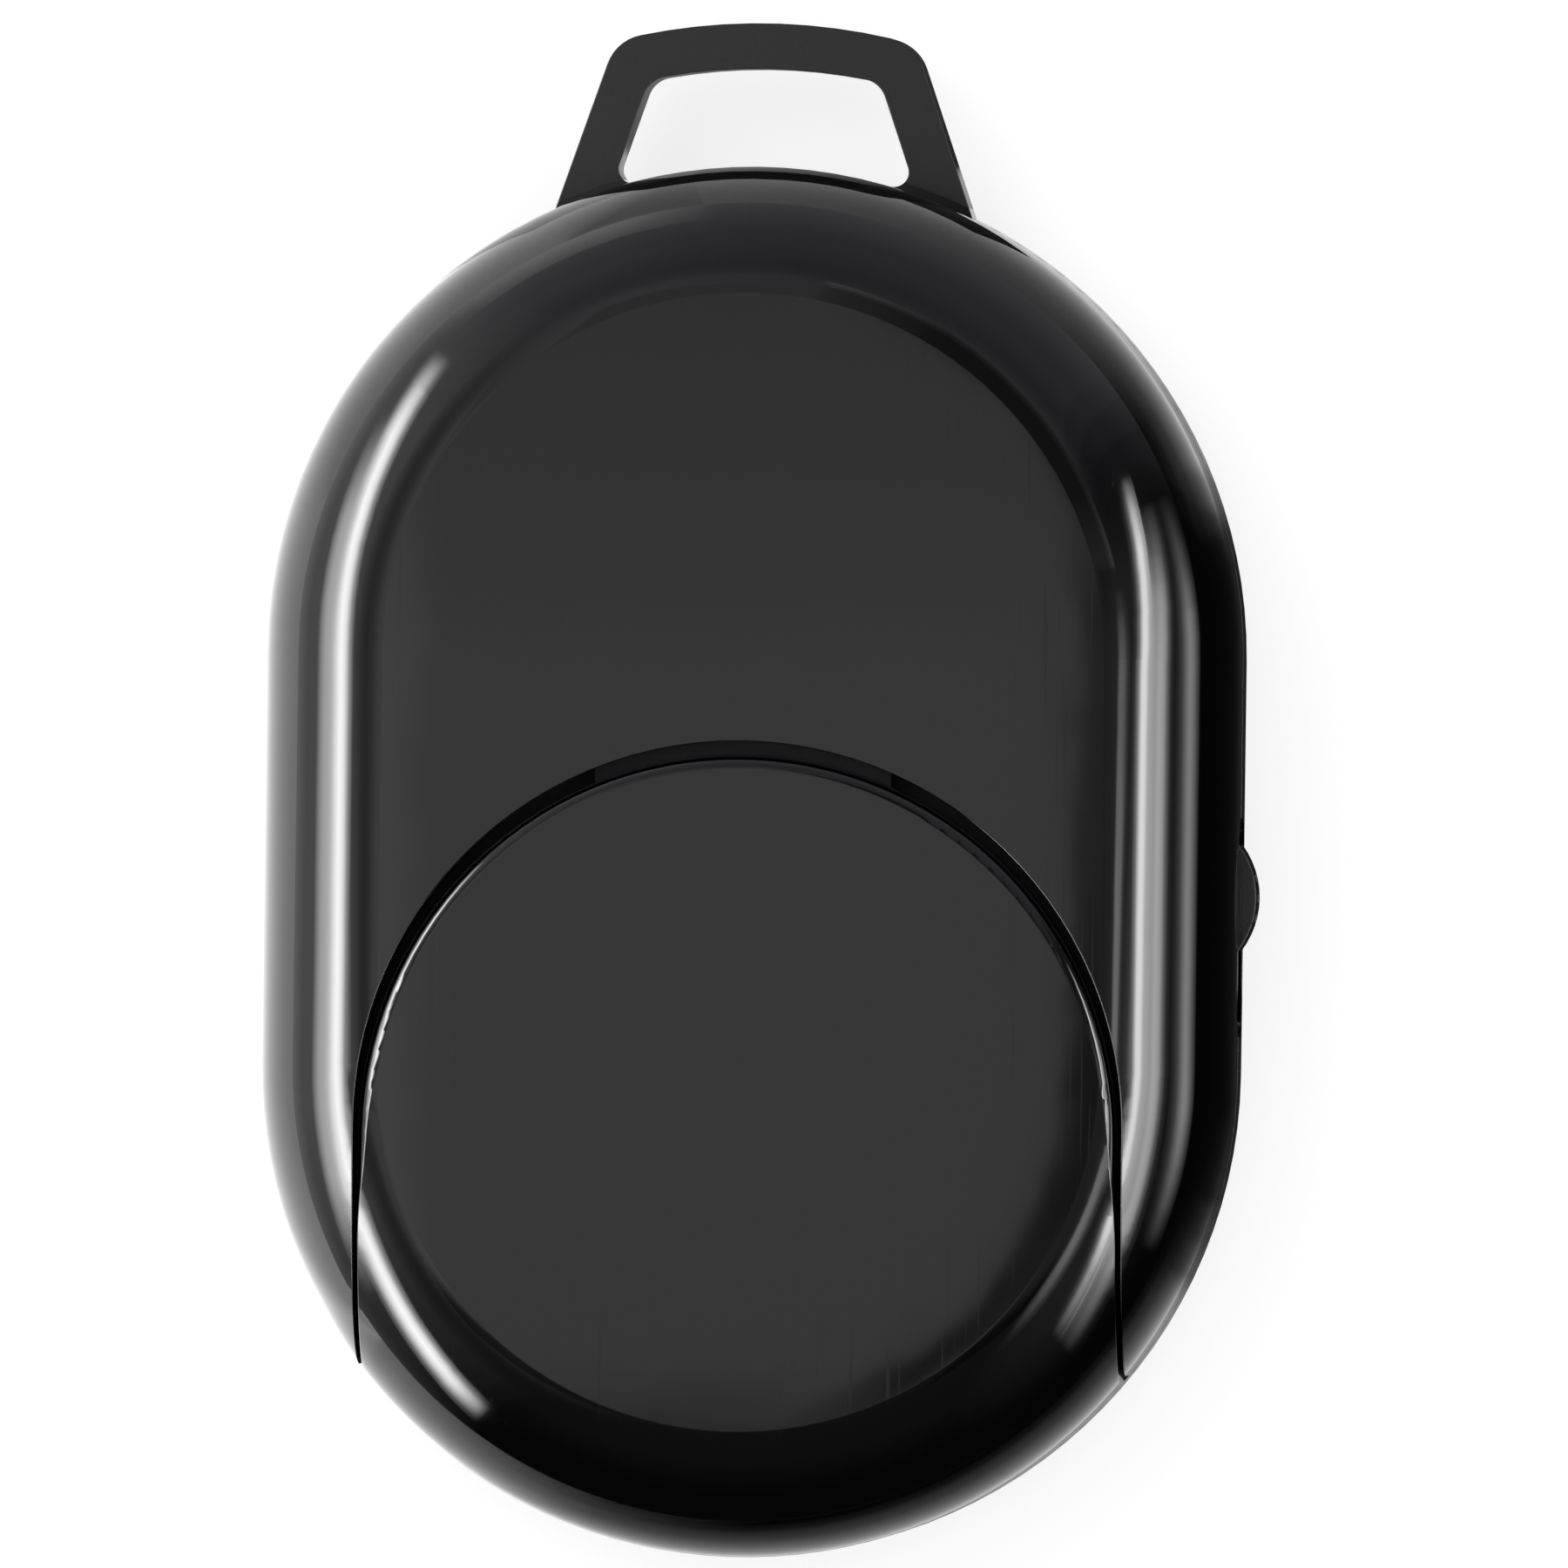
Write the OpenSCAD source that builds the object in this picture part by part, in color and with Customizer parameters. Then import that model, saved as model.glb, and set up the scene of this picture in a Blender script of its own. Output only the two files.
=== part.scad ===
// Pocket remote for a phone's camera: a pebble-shaped housing of two shells with a lanyard loop,
// a sliding battery cover, two spring-back buttons, a side slide switch, a coin cell and a board.
// The front face with the buttons looks down, the back face with the battery cover looks up,
// and the loop points along +Y. The part rests on the crest of its trim rings at height zero.

/* [Housing] */
// Width of the housing
body_w = 33; // [32.5:0.1:34]
// Length of the housing, without the loop
body_l = 47; // [46.5:0.1:49]
// Thickness of both shells' walls
wall_t = 1.4; // [1.3:0.05:1.5]
// Radius of the edge round the back face
back_edge_r = 4.3; // [3.8:0.1:4.6]
// Radius of the edge round the front face
front_edge_r = 2.6; // [2.4:0.1:2.8]
// Depth and height of the shadow line between the shells
shadow_t = 0.15; // [0.1:0.05:0.2]
// Height of the lip that the back shell drops into the front shell
lip_h = 0.8; // [0.6:0.1:1]
// Depth that the snap tabs reach below the parting line
tab_h = 2.2; // [2:0.1:2.3]
// Height of the bead on a snap tab
bead_h = 0.5; // [0.4:0.1:0.7]
// How far the bead stands out of a snap tab
bead_t = 0.25; // [0.2:0.05:0.3]
// Width of a snap tab
tab_w = 3; // [2:0.5:3.5]

/* [Stack] */
// Height of the trim rings above the front face
ring_proud = 0.3; // [0.2:0.05:0.4]
// Free height between the front wall and the board
boss_h = 3.4; // [3.3:0.05:3.6]
// Thickness of the board
board_t = 1; // [0.8:0.1:1.2]
// Height of the parting line below the board
split_drop = 0.2; // [0.1:0.05:0.3]
// Height at which the contact holds the cell above the board
cell_lift = 0.6; // [0.5:0.05:0.7]
// Depth of the cell's face below the deck round it
cell_sink = 0.15; // [0.1:0.05:0.2]
// Clearance between the deck and the cover
deck_gap = 0.25; // [0.2:0.05:0.3]
// Thickness of the deck and of the wall under the cover
deck_t = 1; // [0.9:0.05:1.1]
// Thickness of the battery cover
cover_t = 1.2; // [1.1:0.05:1.3]

/* [Lanyard loop] */
// How far the loop reaches past the housing
loop_reach = 4.9; // [4.5:0.1:6]
// Width across the loop's legs where they meet the housing
loop_base_w = 13.1; // [12.5:0.1:14]
// Lean of the legs towards each other, in degrees
loop_lean = 19; // [15:1:21]
// Width of the loop's legs and bar
loop_bar_w = 1.54; // [1.4:0.02:1.8]
// Thickness of the loop
loop_t = 2.3; // [2:0.1:2.5]
// Radius of the arch on the loop's outer edge
loop_arch_r = 20; // [17:1:30]
// Radius of the loop's outer corners
loop_corner_r = 1.5; // [1.2:0.1:1.6]
// Radius of the opening's far corners
loop_inner_r = 0.9; // [0.6:0.1:1]
// Radius of the opening's near corners
loop_root_r = 0.5; // [0.3:0.1:0.6]

/* [Battery cover] */
// Distance of the centre of the cover's round end from the housing's foot
cover_reach = 14.3; // [14:0.1:14.6]
// How far the cover reaches past the cell's well, all round
cover_margin = 1.95; // [1.9:0.05:2.2]
// Gap between the cover's sides and the shell
seam_gap = 0.18; // [0.1:0.02:0.2]
// Extra gap at the head of the cover's arch
seam_head = 0.3; // [0.2:0.05:0.35]
// Radius of the cover's upper edge along the seam
cover_edge_r = 0.45; // [0.3:0.05:0.5]
// Width of the tongue at the head of the cover
tongue_w = 10; // [8:0.5:12]
// Length of the tongue past the cover's edge
tongue_l = 0.95; // [0.8:0.05:1.1]
// Thickness of the tongue
tongue_t = 0.55; // [0.45:0.05:0.6]
// Length of a hook's foot along the slide
hook_l = 3.5; // [3:0.1:3.6]
// Thickness of a hook's leg
hook_leg_t = 0.8; // [0.7:0.05:0.85]
// How far a hook's foot reaches under the deck
hook_grip = 0.45; // [0.35:0.05:0.5]
// Thickness of a hook's foot
hook_foot_t = 0.6; // [0.5:0.05:0.7]

/* [Coin cell] */
// Diameter of the cell
cell_d = 20; // [19.8:0.1:20]
// Thickness of the cell
cell_t = 3.2; // [3:0.1:3.2]
// Clearance round the cell in its well
cell_gap = 0.25; // [0.15:0.05:0.3]
// Wall of the well
well_t = 0.6; // [0.5:0.05:0.6]

/* [Buttons] */
// Diameter of the large button's cap
large_d = 13.8; // [13:0.1:14]
// Distance of the large button ahead of the housing's centre
large_y = 3.5; // [3.2:0.1:3.8]
// Diameter of the small button's cap
small_d = 8.2; // [7.8:0.1:8.6]
// Distance of the small button behind the housing's centre
small_back = 12.5; // [12.3:0.1:12.8]
// Running gap round a button's cap
button_gap = 0.15; // [0.1:0.05:0.2]
// Width of a trim ring's band
ring_band = 1.35; // [1.2:0.05:1.5]
// Depth of a trim ring's seat in the front face
ring_seat = 0.5; // [0.4:0.05:0.6]
// How far the caps lie below the crest of the rings
button_sink = 0.1; // [0.05:0.05:0.15]
// How far a button's flange reaches past its cap
flange_w = 0.7; // [0.5:0.05:0.8]
// Thickness of a button's flange
flange_t = 0.6; // [0.5:0.05:0.7]
// Depth of the dish in a cap's face
dish_h = 0.2; // [0.1:0.05:0.3]
// Travel of both buttons
press_travel = 0.25; // [0.2:0.05:0.3]

/* [Power switch] */
// Distance of the knob behind the housing's centre
knob_back = 1; // [0.8:0.01:1.3]
// Length of the knob at the wall
knob_l = 3.6; // [3.2:0.1:3.8]
// Height of the knob
knob_h = 2; // [1.8:0.1:2.1]
// How far the knob stands out of the housing
knob_proud = 0.58; // [0.5:0.02:0.8]
// Radius of the knob's rounded head
knob_arc_r = 3; // [2.8:0.1:4]
// Travel of the knob from off to on
knob_travel = 2; // [1.8:0.1:2]
// Depth of the thumb scoop round the knob
scoop_t = 0.2; // [0.1:0.05:0.25]

/* [Board] */
// Width of a push switch's case
tact_w = 4.5; // [4.2:0.1:4.8]
// Height of a push switch's case
tact_h = 2; // [1.8:0.05:2.1]
// How far a push switch's stem stands out of its case
stem_h = 0.5; // [0.4:0.05:0.55]
// Diameter of a push switch's stem
stem_d = 2.2; // [2:0.1:2.4]
// Length of the slide switch's case
slide_l = 6.6; // [6.4:0.1:6.8]
// Width of the slide switch's case
slide_w = 2.7; // [2.5:0.1:2.8]
// Height of the slide switch's case
slide_h = 1.4; // [1.3:0.05:1.5]
// Side of the radio chip
radio_w = 5; // [4.6:0.1:5.2]
// Thickness of the chips
chip_h = 0.9; // [0.8:0.05:1]
// Diameter of the board screws' heads
screw_head_d = 2.6; // [2.4:0.1:2.8]

/* [Hidden] */
$fn = 96;
// Sides of a circle that only cuts a shallow dish
shallow_fn = 720;

// Colours as they show in daylight
housing_black = [0.09, 0.09, 0.1];
bright_metal = [0.82, 0.83, 0.85];
steel_grey = [0.66, 0.67, 0.68];
gold_plate = [0.8, 0.65, 0.32];
board_green = [0.06, 0.32, 0.16];
switch_white = [0.86, 0.86, 0.82];
chip_black = [0.12, 0.12, 0.13];
ceramic_tan = [0.68, 0.56, 0.42];
lens_clear = [0.82, 0.88, 0.92];
copper_red = [0.72, 0.42, 0.24];

// One overrun serves every cut
over = 0.6;
// Clearance between pieces that are held still
fit_gap = 0.05;
// Clearance between pieces that run past each other
run_gap = 0.15;
// Least radius of an inner corner
least_r = 0.1;

// Heights through the stack, from the rings' crest up
face_z = ring_proud;
front_in_z = face_z + wall_t;
board_lo = front_in_z + boss_h;
board_hi = board_lo + board_t;
split_z = board_lo - split_drop;
cell_lo = board_hi + cell_lift;
cell_hi = cell_lo + cell_t;
deck_hi = cell_hi + cell_sink;
deck_lo = deck_hi - deck_t;
cover_in_z = deck_hi + deck_gap;
top_z = cover_in_z + cover_t;
recess_in = cover_t + deck_gap;
end_y = (body_l - body_w) / 2;
cell_r = cell_d / 2;
well_r = cell_r + cell_gap;
cover_y = cover_reach - body_l / 2;
cover_r = well_r + well_t + cover_margin;
lip_in = wall_t / 2 + fit_gap;
step_t = deck_t;

// Half of the housing's cross-section, moved in by d all round
module half_section(d) {
    w = body_w / 2 - d;
    lo = face_z + d;
    hi = top_z - d;
    rf = max(front_edge_r - d, least_r);
    rb = max(back_edge_r - d, least_r);
    polygon([[0, lo], [w - rf, lo], [w, lo + rf], [w, hi - rb], [w - rb, hi], [0, hi]]);
    translate([w - rf, lo + rf]) circle(r = rf);
    translate([w - rb, hi - rb]) circle(r = rb);
}

module half_band(d, z_lo, z_hi) {
    intersection() {
        half_section(d);
        translate([0, z_lo]) square([body_w, z_hi - z_lo]);
    }
}

// The housing's form, moved in by d all round, between two heights
module pebble(d, z_lo, z_hi) {
    for (turn = [0, 180])
        rotate([0, 0, turn])
            translate([0, end_y, 0])
                rotate_extrude(angle = 180) half_band(d, z_lo, z_hi);
    translate([0, end_y, 0])
        rotate([90, 0, 0])
            linear_extrude(height = 2 * end_y) {
                half_band(d, z_lo, z_hi);
                mirror([1, 0]) half_band(d, z_lo, z_hi);
            }
}

// The plan of the battery cover, grown by g, with its arch moved ahead by head
module cover_zone(g, head, z_lo, z_hi) {
    r = cover_r + g;
    translate([0, cover_y + head, z_lo]) cylinder(r = r, h = z_hi - z_lo);
    translate([-r, cover_y + head - body_l, z_lo]) cube([2 * r, body_l, z_hi - z_lo]);
}

// A box given by its centre in plan and its two heights
module block(x, y, w, l, z_lo, z_hi) {
    translate([x - w / 2, y - l / 2, z_lo]) cube([w, l, z_hi - z_lo]);
}

module both_sides() {
    children();
    mirror([1, 0, 0]) children();
}

// Lanyard loop: a leg's line, moved in by d, is x = leg_p(d) - leg_q * y
arch_y = body_l / 2 + loop_reach - loop_arch_r;
leg_q = tan(loop_lean);
loop_root = 3;
corner_reach_share = 1.3;
function leg_p(d) = loop_base_w / 2 - d / cos(loop_lean) + leg_q * body_l / 2;

// Height at which a leg's line, moved in by d, meets the circle of radius r about [0, c]
function leg_meets(d, c, r) =
    let (p = leg_p(d), b = p * leg_q + c, a = 1 + leg_q * leg_q)
    (b + sqrt(b * b - a * (p * p + c * c - r * r))) / a;
function leg_point(d, y) = [leg_p(d) - leg_q * y, y];
function unit(v) = v / norm(v);

// What a rounded corner takes off, between the directions u and v from its centre
module corner_waste(centre, r, u, v) {
    reach = r * corner_reach_share / (1 + u * v);
    difference() {
        polygon([centre, centre + r * u, centre + reach * (u + v), centre + r * v]);
        translate(centre) circle(r = r);
    }
}

module loop_side_corner(r, d, c, ring_r, outward) {
    centre = leg_point(d + r, leg_meets(d + r, c, ring_r - outward * r));
    corner_waste(centre, r, [cos(loop_lean), sin(loop_lean)], outward * unit(centre - [0, c]));
}

// The loop's outline with its legs moved in by d and its arch by the same amount
module loop_outline(d, corner_r) {
    y_lo = body_l / 2 - loop_root;
    y_hi = arch_y + loop_arch_r;
    difference() {
        intersection() {
            polygon([
                leg_point(d, y_lo), leg_point(d, y_hi),
                [-leg_point(d, y_hi)[0], y_hi], [-leg_point(d, y_lo)[0], y_lo]
            ]);
            translate([0, arch_y]) circle(r = loop_arch_r - d);
        }
        for (side = [0, 1])
            mirror([side, 0]) loop_side_corner(corner_r, d, arch_y, loop_arch_r - d, 1);
    }
}

module loop_opening() {
    difference() {
        loop_outline(loop_bar_w, loop_inner_r);
        translate([0, end_y]) circle(r = body_w / 2);
        for (side = [0, 1])
            mirror([side, 0])
                loop_side_corner(loop_root_r, loop_bar_w, end_y, body_w / 2, -1);
    }
}

module loop_plate() {
    translate([0, 0, split_z - loop_t])
        linear_extrude(height = loop_t)
            difference() {
                loop_outline(0, loop_corner_r);
                loop_opening();
            }
}

// Power switch: the slide switch lies on the board's front side, and its lever enters the knob
knob_y = -knob_back;
frame_t = 0.2;
slide_lo = board_lo - slide_h;
lever_z = board_lo - slide_h / 2;
wall_x = body_w / 2;
knob_flange_t = 0.7;
knob_flange_gap = 0.25;
knob_flange_lap = 0.1;
knob_flange_rise = 0.5;
knob_flange_over = knob_travel + 2 * run_gap + knob_flange_lap;
knob_flange_out = wall_x - wall_t - knob_flange_gap;
knob_flange_in = knob_flange_out - knob_flange_t;
knob_flange_h = knob_h + 2 * knob_flange_rise;
knob_notch_w = 0.3;
knob_notch_t = 0.12;
knob_notch_h = 1.2;
knob_notches = 3;
knob_notch_turn = 13;
lever_w = 1.3;
lever_gap = 0.05;
lever_h = slide_h - 2 * (frame_t + lever_gap);
lever_l = 1.9;
slide_out = knob_flange_in - run_gap - fit_gap;
window_lo = knob_y - knob_l / 2 - knob_travel - run_gap;
window_hi = knob_y + knob_l / 2 + run_gap;
window_mid = (window_lo + window_hi) / 2;
window_l = window_hi - window_lo;
window_h = knob_h + 2 * run_gap;
scoop_side = 0.6;
scoop_end = 0.8;
scoop_h = window_h + 2 * scoop_side;
scoop_l = window_l + 2 * scoop_end;

// The window for the knob and the thumb scoop round it, as one cut through both shells
module knob_window() {
    block(wall_x, window_mid, 2 * wall_t + over, window_l, lever_z - window_h / 2, lever_z + window_h / 2);
    translate([wall_x - scoop_t, window_mid, lever_z])
        rotate([0, 90, 0])
            linear_extrude(height = scoop_t + over) {
                for (end = [-1, 1])
                    translate([0, end * (scoop_l - scoop_h) / 2]) circle(d = scoop_h);
                square([scoop_h, scoop_l - scoop_h], center = true);
            }
}

// The room inside the wall for the knob's flange over its whole travel
module knob_room() {
    h = knob_flange_h / 2 + run_gap;
    l = knob_l + 2 * (knob_flange_over + run_gap) + knob_travel;
    block((slide_x + knob_flange_out) / 2, knob_y - knob_travel / 2, knob_flange_out - slide_x + run_gap, l,
        lever_z - h, lever_z + h);
}

// Snap tabs: one at the head of the housing, one on each side and a plain tongue at the foot
tab_side_y = 5.2;
tab_depth = 3;
module tab_places(g) {
    w = tab_w + 2 * g;
    reach = wall_t + tab_depth;
    z_lo = front_in_z;
    block(0, body_l / 2, w, 2 * reach, z_lo, split_z);
    block(0, -body_l / 2, w, 2 * reach, z_lo, split_z);
    both_sides() block(wall_x, tab_side_y, 2 * reach, w, z_lo, split_z);
}

// What the snap tabs take up, grown by g: their strips and, if wanted, their beads
module tab_room(g) {
    intersection() {
        union() {
            pebble(lip_in - g, split_z - tab_h - g, split_z);
            pebble(lip_in - bead_t - g, split_z - tab_h - g, split_z - tab_h + bead_h + g);
        }
        tab_places(g);
    }
}

// Board: screws at the head, pegs at the foot
screw_x = 8.5;
screw_in = 9.5;
screw_y = body_l / 2 - screw_in;
screw_r = 0.68;
screw_head_h = 0.9;
screw_l = 3.4;
boss_r = 1.6;
peg_in = 4.3;
peg_drop = 1.2;
peg_x = wall_x - peg_in;
peg_y = -end_y - peg_drop;
peg_r = 0.5;
peg_foot_r = 1.1;
board_in = recess_in + deck_t + run_gap;

module at_screws() {
    for (side = [-1, 1]) translate([side * screw_x, screw_y, 0]) children();
}

module at_pegs() {
    for (side = [-1, 1]) translate([side * peg_x, peg_y, 0]) children();
}

// Indicator: a light pipe in the front face over a light on the board
lens_in = 6.9;
lens_y = body_l / 2 - lens_in;
lens_r = 0.9;
lens_flange_r = 1.35;
lens_flange_t = 0.5;
led_w = 1.6;
led_l = 0.9;
led_h = 0.6;
lens_sink = 0.05;
lens_end = board_lo - led_h - run_gap;

// Buttons: each cap runs in its ring, and its flange is caught behind the front wall
small_y = -small_back;
function flange_r(d) = d / 2 + flange_w;
flange_lo = front_in_z + 2 * fit_gap;
flange_hi = flange_lo + flange_t;
cap_z = button_sink;
cap_round = 0.4;
cap_top_t = 1.1;
cap_rim_t = 1.1;
post_r = 1.6;
stem_end = board_lo - tact_h - stem_h;
key_w = 2;
key_t = 0.8;
key_h = 1.4;

module button_bore(y, d) {
    r = d / 2 + button_gap;
    translate([0, y, 0]) cylinder(r = r, h = front_in_z + over);
    translate([0, y, 0]) cylinder(r = r + ring_band + fit_gap, h = face_z + ring_seat);
}

// The rib beside a flange's flat that keeps the button from turning, on the side given by way
module button_key(y, d, way) {
    block(0, y + way * (flange_r(d) + run_gap), key_w, key_t, front_in_z - over, front_in_z + key_h);
}

module front_shell() {
    color(housing_black)
        difference() {
            union() {
                difference() {
                    union() {
                        pebble(0, face_z, split_z);
                        loop_plate();
                    }
                    pebble(wall_t, face_z, split_z + over);
                    pebble(lip_in - fit_gap, split_z - lip_h - fit_gap, split_z + over);
                    tab_room(fit_gap);
                }
                at_screws() translate([0, 0, front_in_z - over]) cylinder(r = boss_r, h = boss_h + over);
                at_pegs() {
                    translate([0, 0, front_in_z - over]) cylinder(r = peg_foot_r, h = boss_h + over);
                    translate([0, 0, front_in_z]) cylinder(r = peg_r, h = boss_h + board_t);
                }
                button_key(large_y, large_d, -1);
                button_key(small_y, small_d, 1);
            }
            button_bore(large_y, large_d);
            button_bore(small_y, small_d);
            translate([0, lens_y, 0]) cylinder(r = lens_r + fit_gap, h = front_in_z + over);
            at_screws()
                translate([0, 0, board_lo - screw_l])
                    cylinder(r = screw_r + fit_gap / 2, h = screw_l + over);
            knob_window();
        }
}

// Battery cover: hooks under the deck, a tongue under the shell's edge, ribs over the cell
hook_inset = 0.4;
hook_out = cover_r - hook_inset;
hook_in = hook_out - hook_leg_t;
hook_start = 1.5;
hook_head = cover_y - hook_start;
hook_gap = 0.15;
hook_lo = deck_lo - hook_gap - hook_foot_t;
foot_in = hook_in - run_gap - hook_grip;
cover_lift = 0.1;
rib_t = 0.8;
rib_h = 0.14;
rib_l = 12;
rib_x = 4;
detent_w = 5;
detent_l = 0.6;
detent_h = 0.18;
detent_off = 0.55;
detent_y = cover_y + well_r + well_t + detent_off;
detent_pit = 0.15;

module tongue(g, z_lo, z_hi) {
    intersection() {
        translate([0, cover_y, z_lo])
            difference() {
                cylinder(r = cover_r + tongue_l + g, h = z_hi - z_lo);
                translate([0, 0, -over]) cylinder(r = cover_r - tongue_l, h = z_hi - z_lo + 2 * over);
            }
        block(0, cover_y + body_l / 2, tongue_w + 2 * g, body_l, z_lo - over, z_hi + over);
    }
}

module cover_hook() {
    skin = cover_in_z + cover_t / 2;
    block((hook_in + hook_out) / 2, hook_head - hook_l / 2, hook_leg_t, hook_l, hook_lo, skin);
    block((foot_in + hook_in) / 2, hook_head - hook_l / 2, hook_in - foot_in, hook_l, hook_lo,
        hook_lo + hook_foot_t);
}

// What rounds the cover's upper edge off, in section and then along the arch and the sides
module edge_waste() {
    translate([cover_r - cover_edge_r, top_z - cover_edge_r])
        difference() {
            square(cover_edge_r + over);
            circle(r = cover_edge_r);
        }
}

module cover_edge_waste() {
    translate([0, cover_y, 0]) {
        rotate_extrude(angle = 180) edge_waste();
        both_sides() rotate([90, 0, 0]) linear_extrude(height = body_l) edge_waste();
    }
}

module battery_cover() {
    color(housing_black) {
        difference() {
            intersection() {
                pebble(0, split_z + cover_lift, top_z);
                cover_zone(0, 0, split_z, top_z + over);
            }
            pebble(cover_t, split_z - over, top_z);
            cover_edge_waste();
        }
        tongue(0, cover_in_z, cover_in_z + tongue_t);
        both_sides() cover_hook();
        for (side = [-1, 1])
            block(side * rib_x, cover_y, rib_t, rib_l, cover_in_z - rib_h, cover_in_z + rib_h);
        block(0, detent_y, detent_w, detent_l, cover_in_z - detent_h, cover_in_z + detent_h);
    }
}

// The way that a cover's hook takes through the deck and the wall at the foot
module hook_way() {
    l = body_l;
    y = hook_head + run_gap - l / 2;
    block((hook_in + hook_out) / 2, y, hook_leg_t + 2 * run_gap, l, hook_lo - hook_gap, top_z);
    block((foot_in + hook_in) / 2, y, hook_in - foot_in + 2 * run_gap, l, hook_lo - hook_gap, deck_lo);
}

well_lo = board_hi + 2 * fit_gap;
contact_window_w = 5;

module well_wall() {
    translate([0, cover_y, well_lo])
        difference() {
            cylinder(r = well_r + well_t, h = deck_hi - well_lo);
            translate([0, 0, -over]) cylinder(r = well_r, h = deck_hi - well_lo + 2 * over);
        }
}

module back_shell() {
    color(housing_black)
        difference() {
            union() {
                difference() {
                    union() {
                        pebble(0, split_z, top_z);
                        pebble(lip_in, split_z - lip_h, split_z);
                        tab_room(0);
                    }
                    difference() {
                        cover_zone(seam_gap, seam_head, front_in_z, top_z + over);
                        pebble(recess_in, face_z, top_z);
                    }
                    pebble(recess_in + deck_t, face_z, top_z);
                    difference() {
                        pebble(wall_t, face_z, top_z);
                        cover_zone(seam_gap + step_t, seam_head, face_z, top_z);
                    }
                }
                well_wall();
            }
            difference() {
                block(0, 0, body_w + over, body_l + over, split_z - over, split_z + shadow_t);
                pebble(shadow_t, face_z, top_z);
            }
            translate([0, cover_y, well_lo]) cylinder(r = well_r, h = top_z - well_lo);
            both_sides() hook_way();
            tongue(run_gap, cover_in_z - run_gap, cover_in_z + tongue_t + run_gap);
            block(0, detent_y, detent_w + 2 * run_gap, detent_l + 2 * run_gap, deck_hi - detent_pit,
                deck_hi + over);
            block(0, cover_y + well_r, contact_window_w, 2 * well_t + over, well_lo - over,
                deck_lo - over / 2);
            knob_window();
            knob_room();
        }
}

// A button about its own centre, with its cap facing down, its flange above and its flat on one side
module button(d, way) {
    r = d / 2;
    dish_r = r - cap_round;
    dish_ball = (dish_r * dish_r + dish_h * dish_h) / (2 * dish_h);
    fr = flange_r(d);
    difference() {
        rotate_extrude()
            difference() {
                union() {
                    polygon([
                        [0, cap_z], [r - cap_round, cap_z], [r, cap_z + cap_round], [r, flange_lo],
                        [fr, flange_lo], [fr, flange_hi], [r - cap_rim_t, flange_hi],
                        [r - cap_rim_t, cap_z + cap_top_t], [post_r, cap_z + cap_top_t],
                        [post_r, stem_end], [0, stem_end]
                    ]);
                    translate([r - cap_round, cap_z + cap_round]) circle(r = cap_round);
                }
                translate([0, cap_z + dish_h - dish_ball]) circle(r = dish_ball, $fn = shallow_fn);
                translate([-d, 0]) square([d, board_lo]);
            }
        block(0, way * fr, key_w + 2 * run_gap, key_t, flange_lo - over / 4, flange_hi + over);
    }
}

module trim_ring(y, d) {
    r_in = d / 2 + button_gap;
    r_out = r_in + ring_band;
    round_r = ring_proud;
    color(bright_metal)
        translate([0, y, 0])
            rotate_extrude() {
                polygon([
                    [r_in, round_r], [r_in + round_r, 0], [r_out - round_r, 0], [r_out, round_r],
                    [r_out, face_z + ring_seat], [r_in, face_z + ring_seat]
                ]);
                translate([r_in + round_r, round_r]) circle(r = round_r);
                translate([r_out - round_r, round_r]) circle(r = round_r);
            }
}

module shutter_button() {
    color(housing_black) translate([0, large_y, 0]) button(large_d, -1);
}

module second_button() {
    color(housing_black) translate([0, small_y, 0]) button(small_d, 1);
}

module shutter_ring() {
    trim_ring(large_y, large_d);
}

module second_ring() {
    trim_ring(small_y, small_d);
}

module indicator_lens() {
    color(lens_clear)
        translate([0, lens_y, 0]) {
            translate([0, 0, face_z + lens_sink]) cylinder(r = lens_r, h = lens_end - face_z - lens_sink);
            translate([0, 0, front_in_z]) cylinder(r = lens_flange_r, h = lens_flange_t);
        }
}

// The knob: a neck through the wall with a rounded head, which has notches for the thumb
module power_knob() {
    head_x = wall_x + knob_proud;
    arc_x = head_x - knob_arc_r;
    color(housing_black)
        difference() {
            union() {
                translate([0, knob_y, lever_z - knob_h / 2])
                    linear_extrude(height = knob_h)
                        intersection() {
                            translate([arc_x, 0]) circle(r = knob_arc_r);
                            translate([knob_flange_out - fit_gap, -knob_l / 2])
                                square([head_x - knob_flange_out + 2 * fit_gap, knob_l]);
                        }
                block((knob_flange_in + knob_flange_out) / 2, knob_y, knob_flange_t,
                    knob_l + 2 * knob_flange_over, lever_z - knob_flange_h / 2,
                    lever_z + knob_flange_h / 2);
            }
            for (i = [0 : knob_notches - 1])
                translate([arc_x, knob_y, 0])
                    rotate([0, 0, (i - (knob_notches - 1) / 2) * knob_notch_turn])
                        block(knob_arc_r, 0, 2 * knob_notch_t, knob_notch_w, lever_z - knob_notch_h / 2,
                            lever_z + knob_notch_h / 2);
            block(knob_flange_in, knob_y, 2 * (lever_l - run_gap), lever_w + 2 * fit_gap,
                lever_z - lever_h / 2 - fit_gap, lever_z + lever_h / 2 + fit_gap);
        }
}

module circuit_board() {
    color(board_green)
        difference() {
            pebble(board_in, board_lo, board_hi);
            translate([0, 0, board_lo - over]) {
                at_screws() cylinder(r = screw_r + run_gap, h = board_t + 2 * over);
                at_pegs() cylinder(r = peg_r + fit_gap, h = board_t + 2 * over);
            }
        }
}

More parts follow.
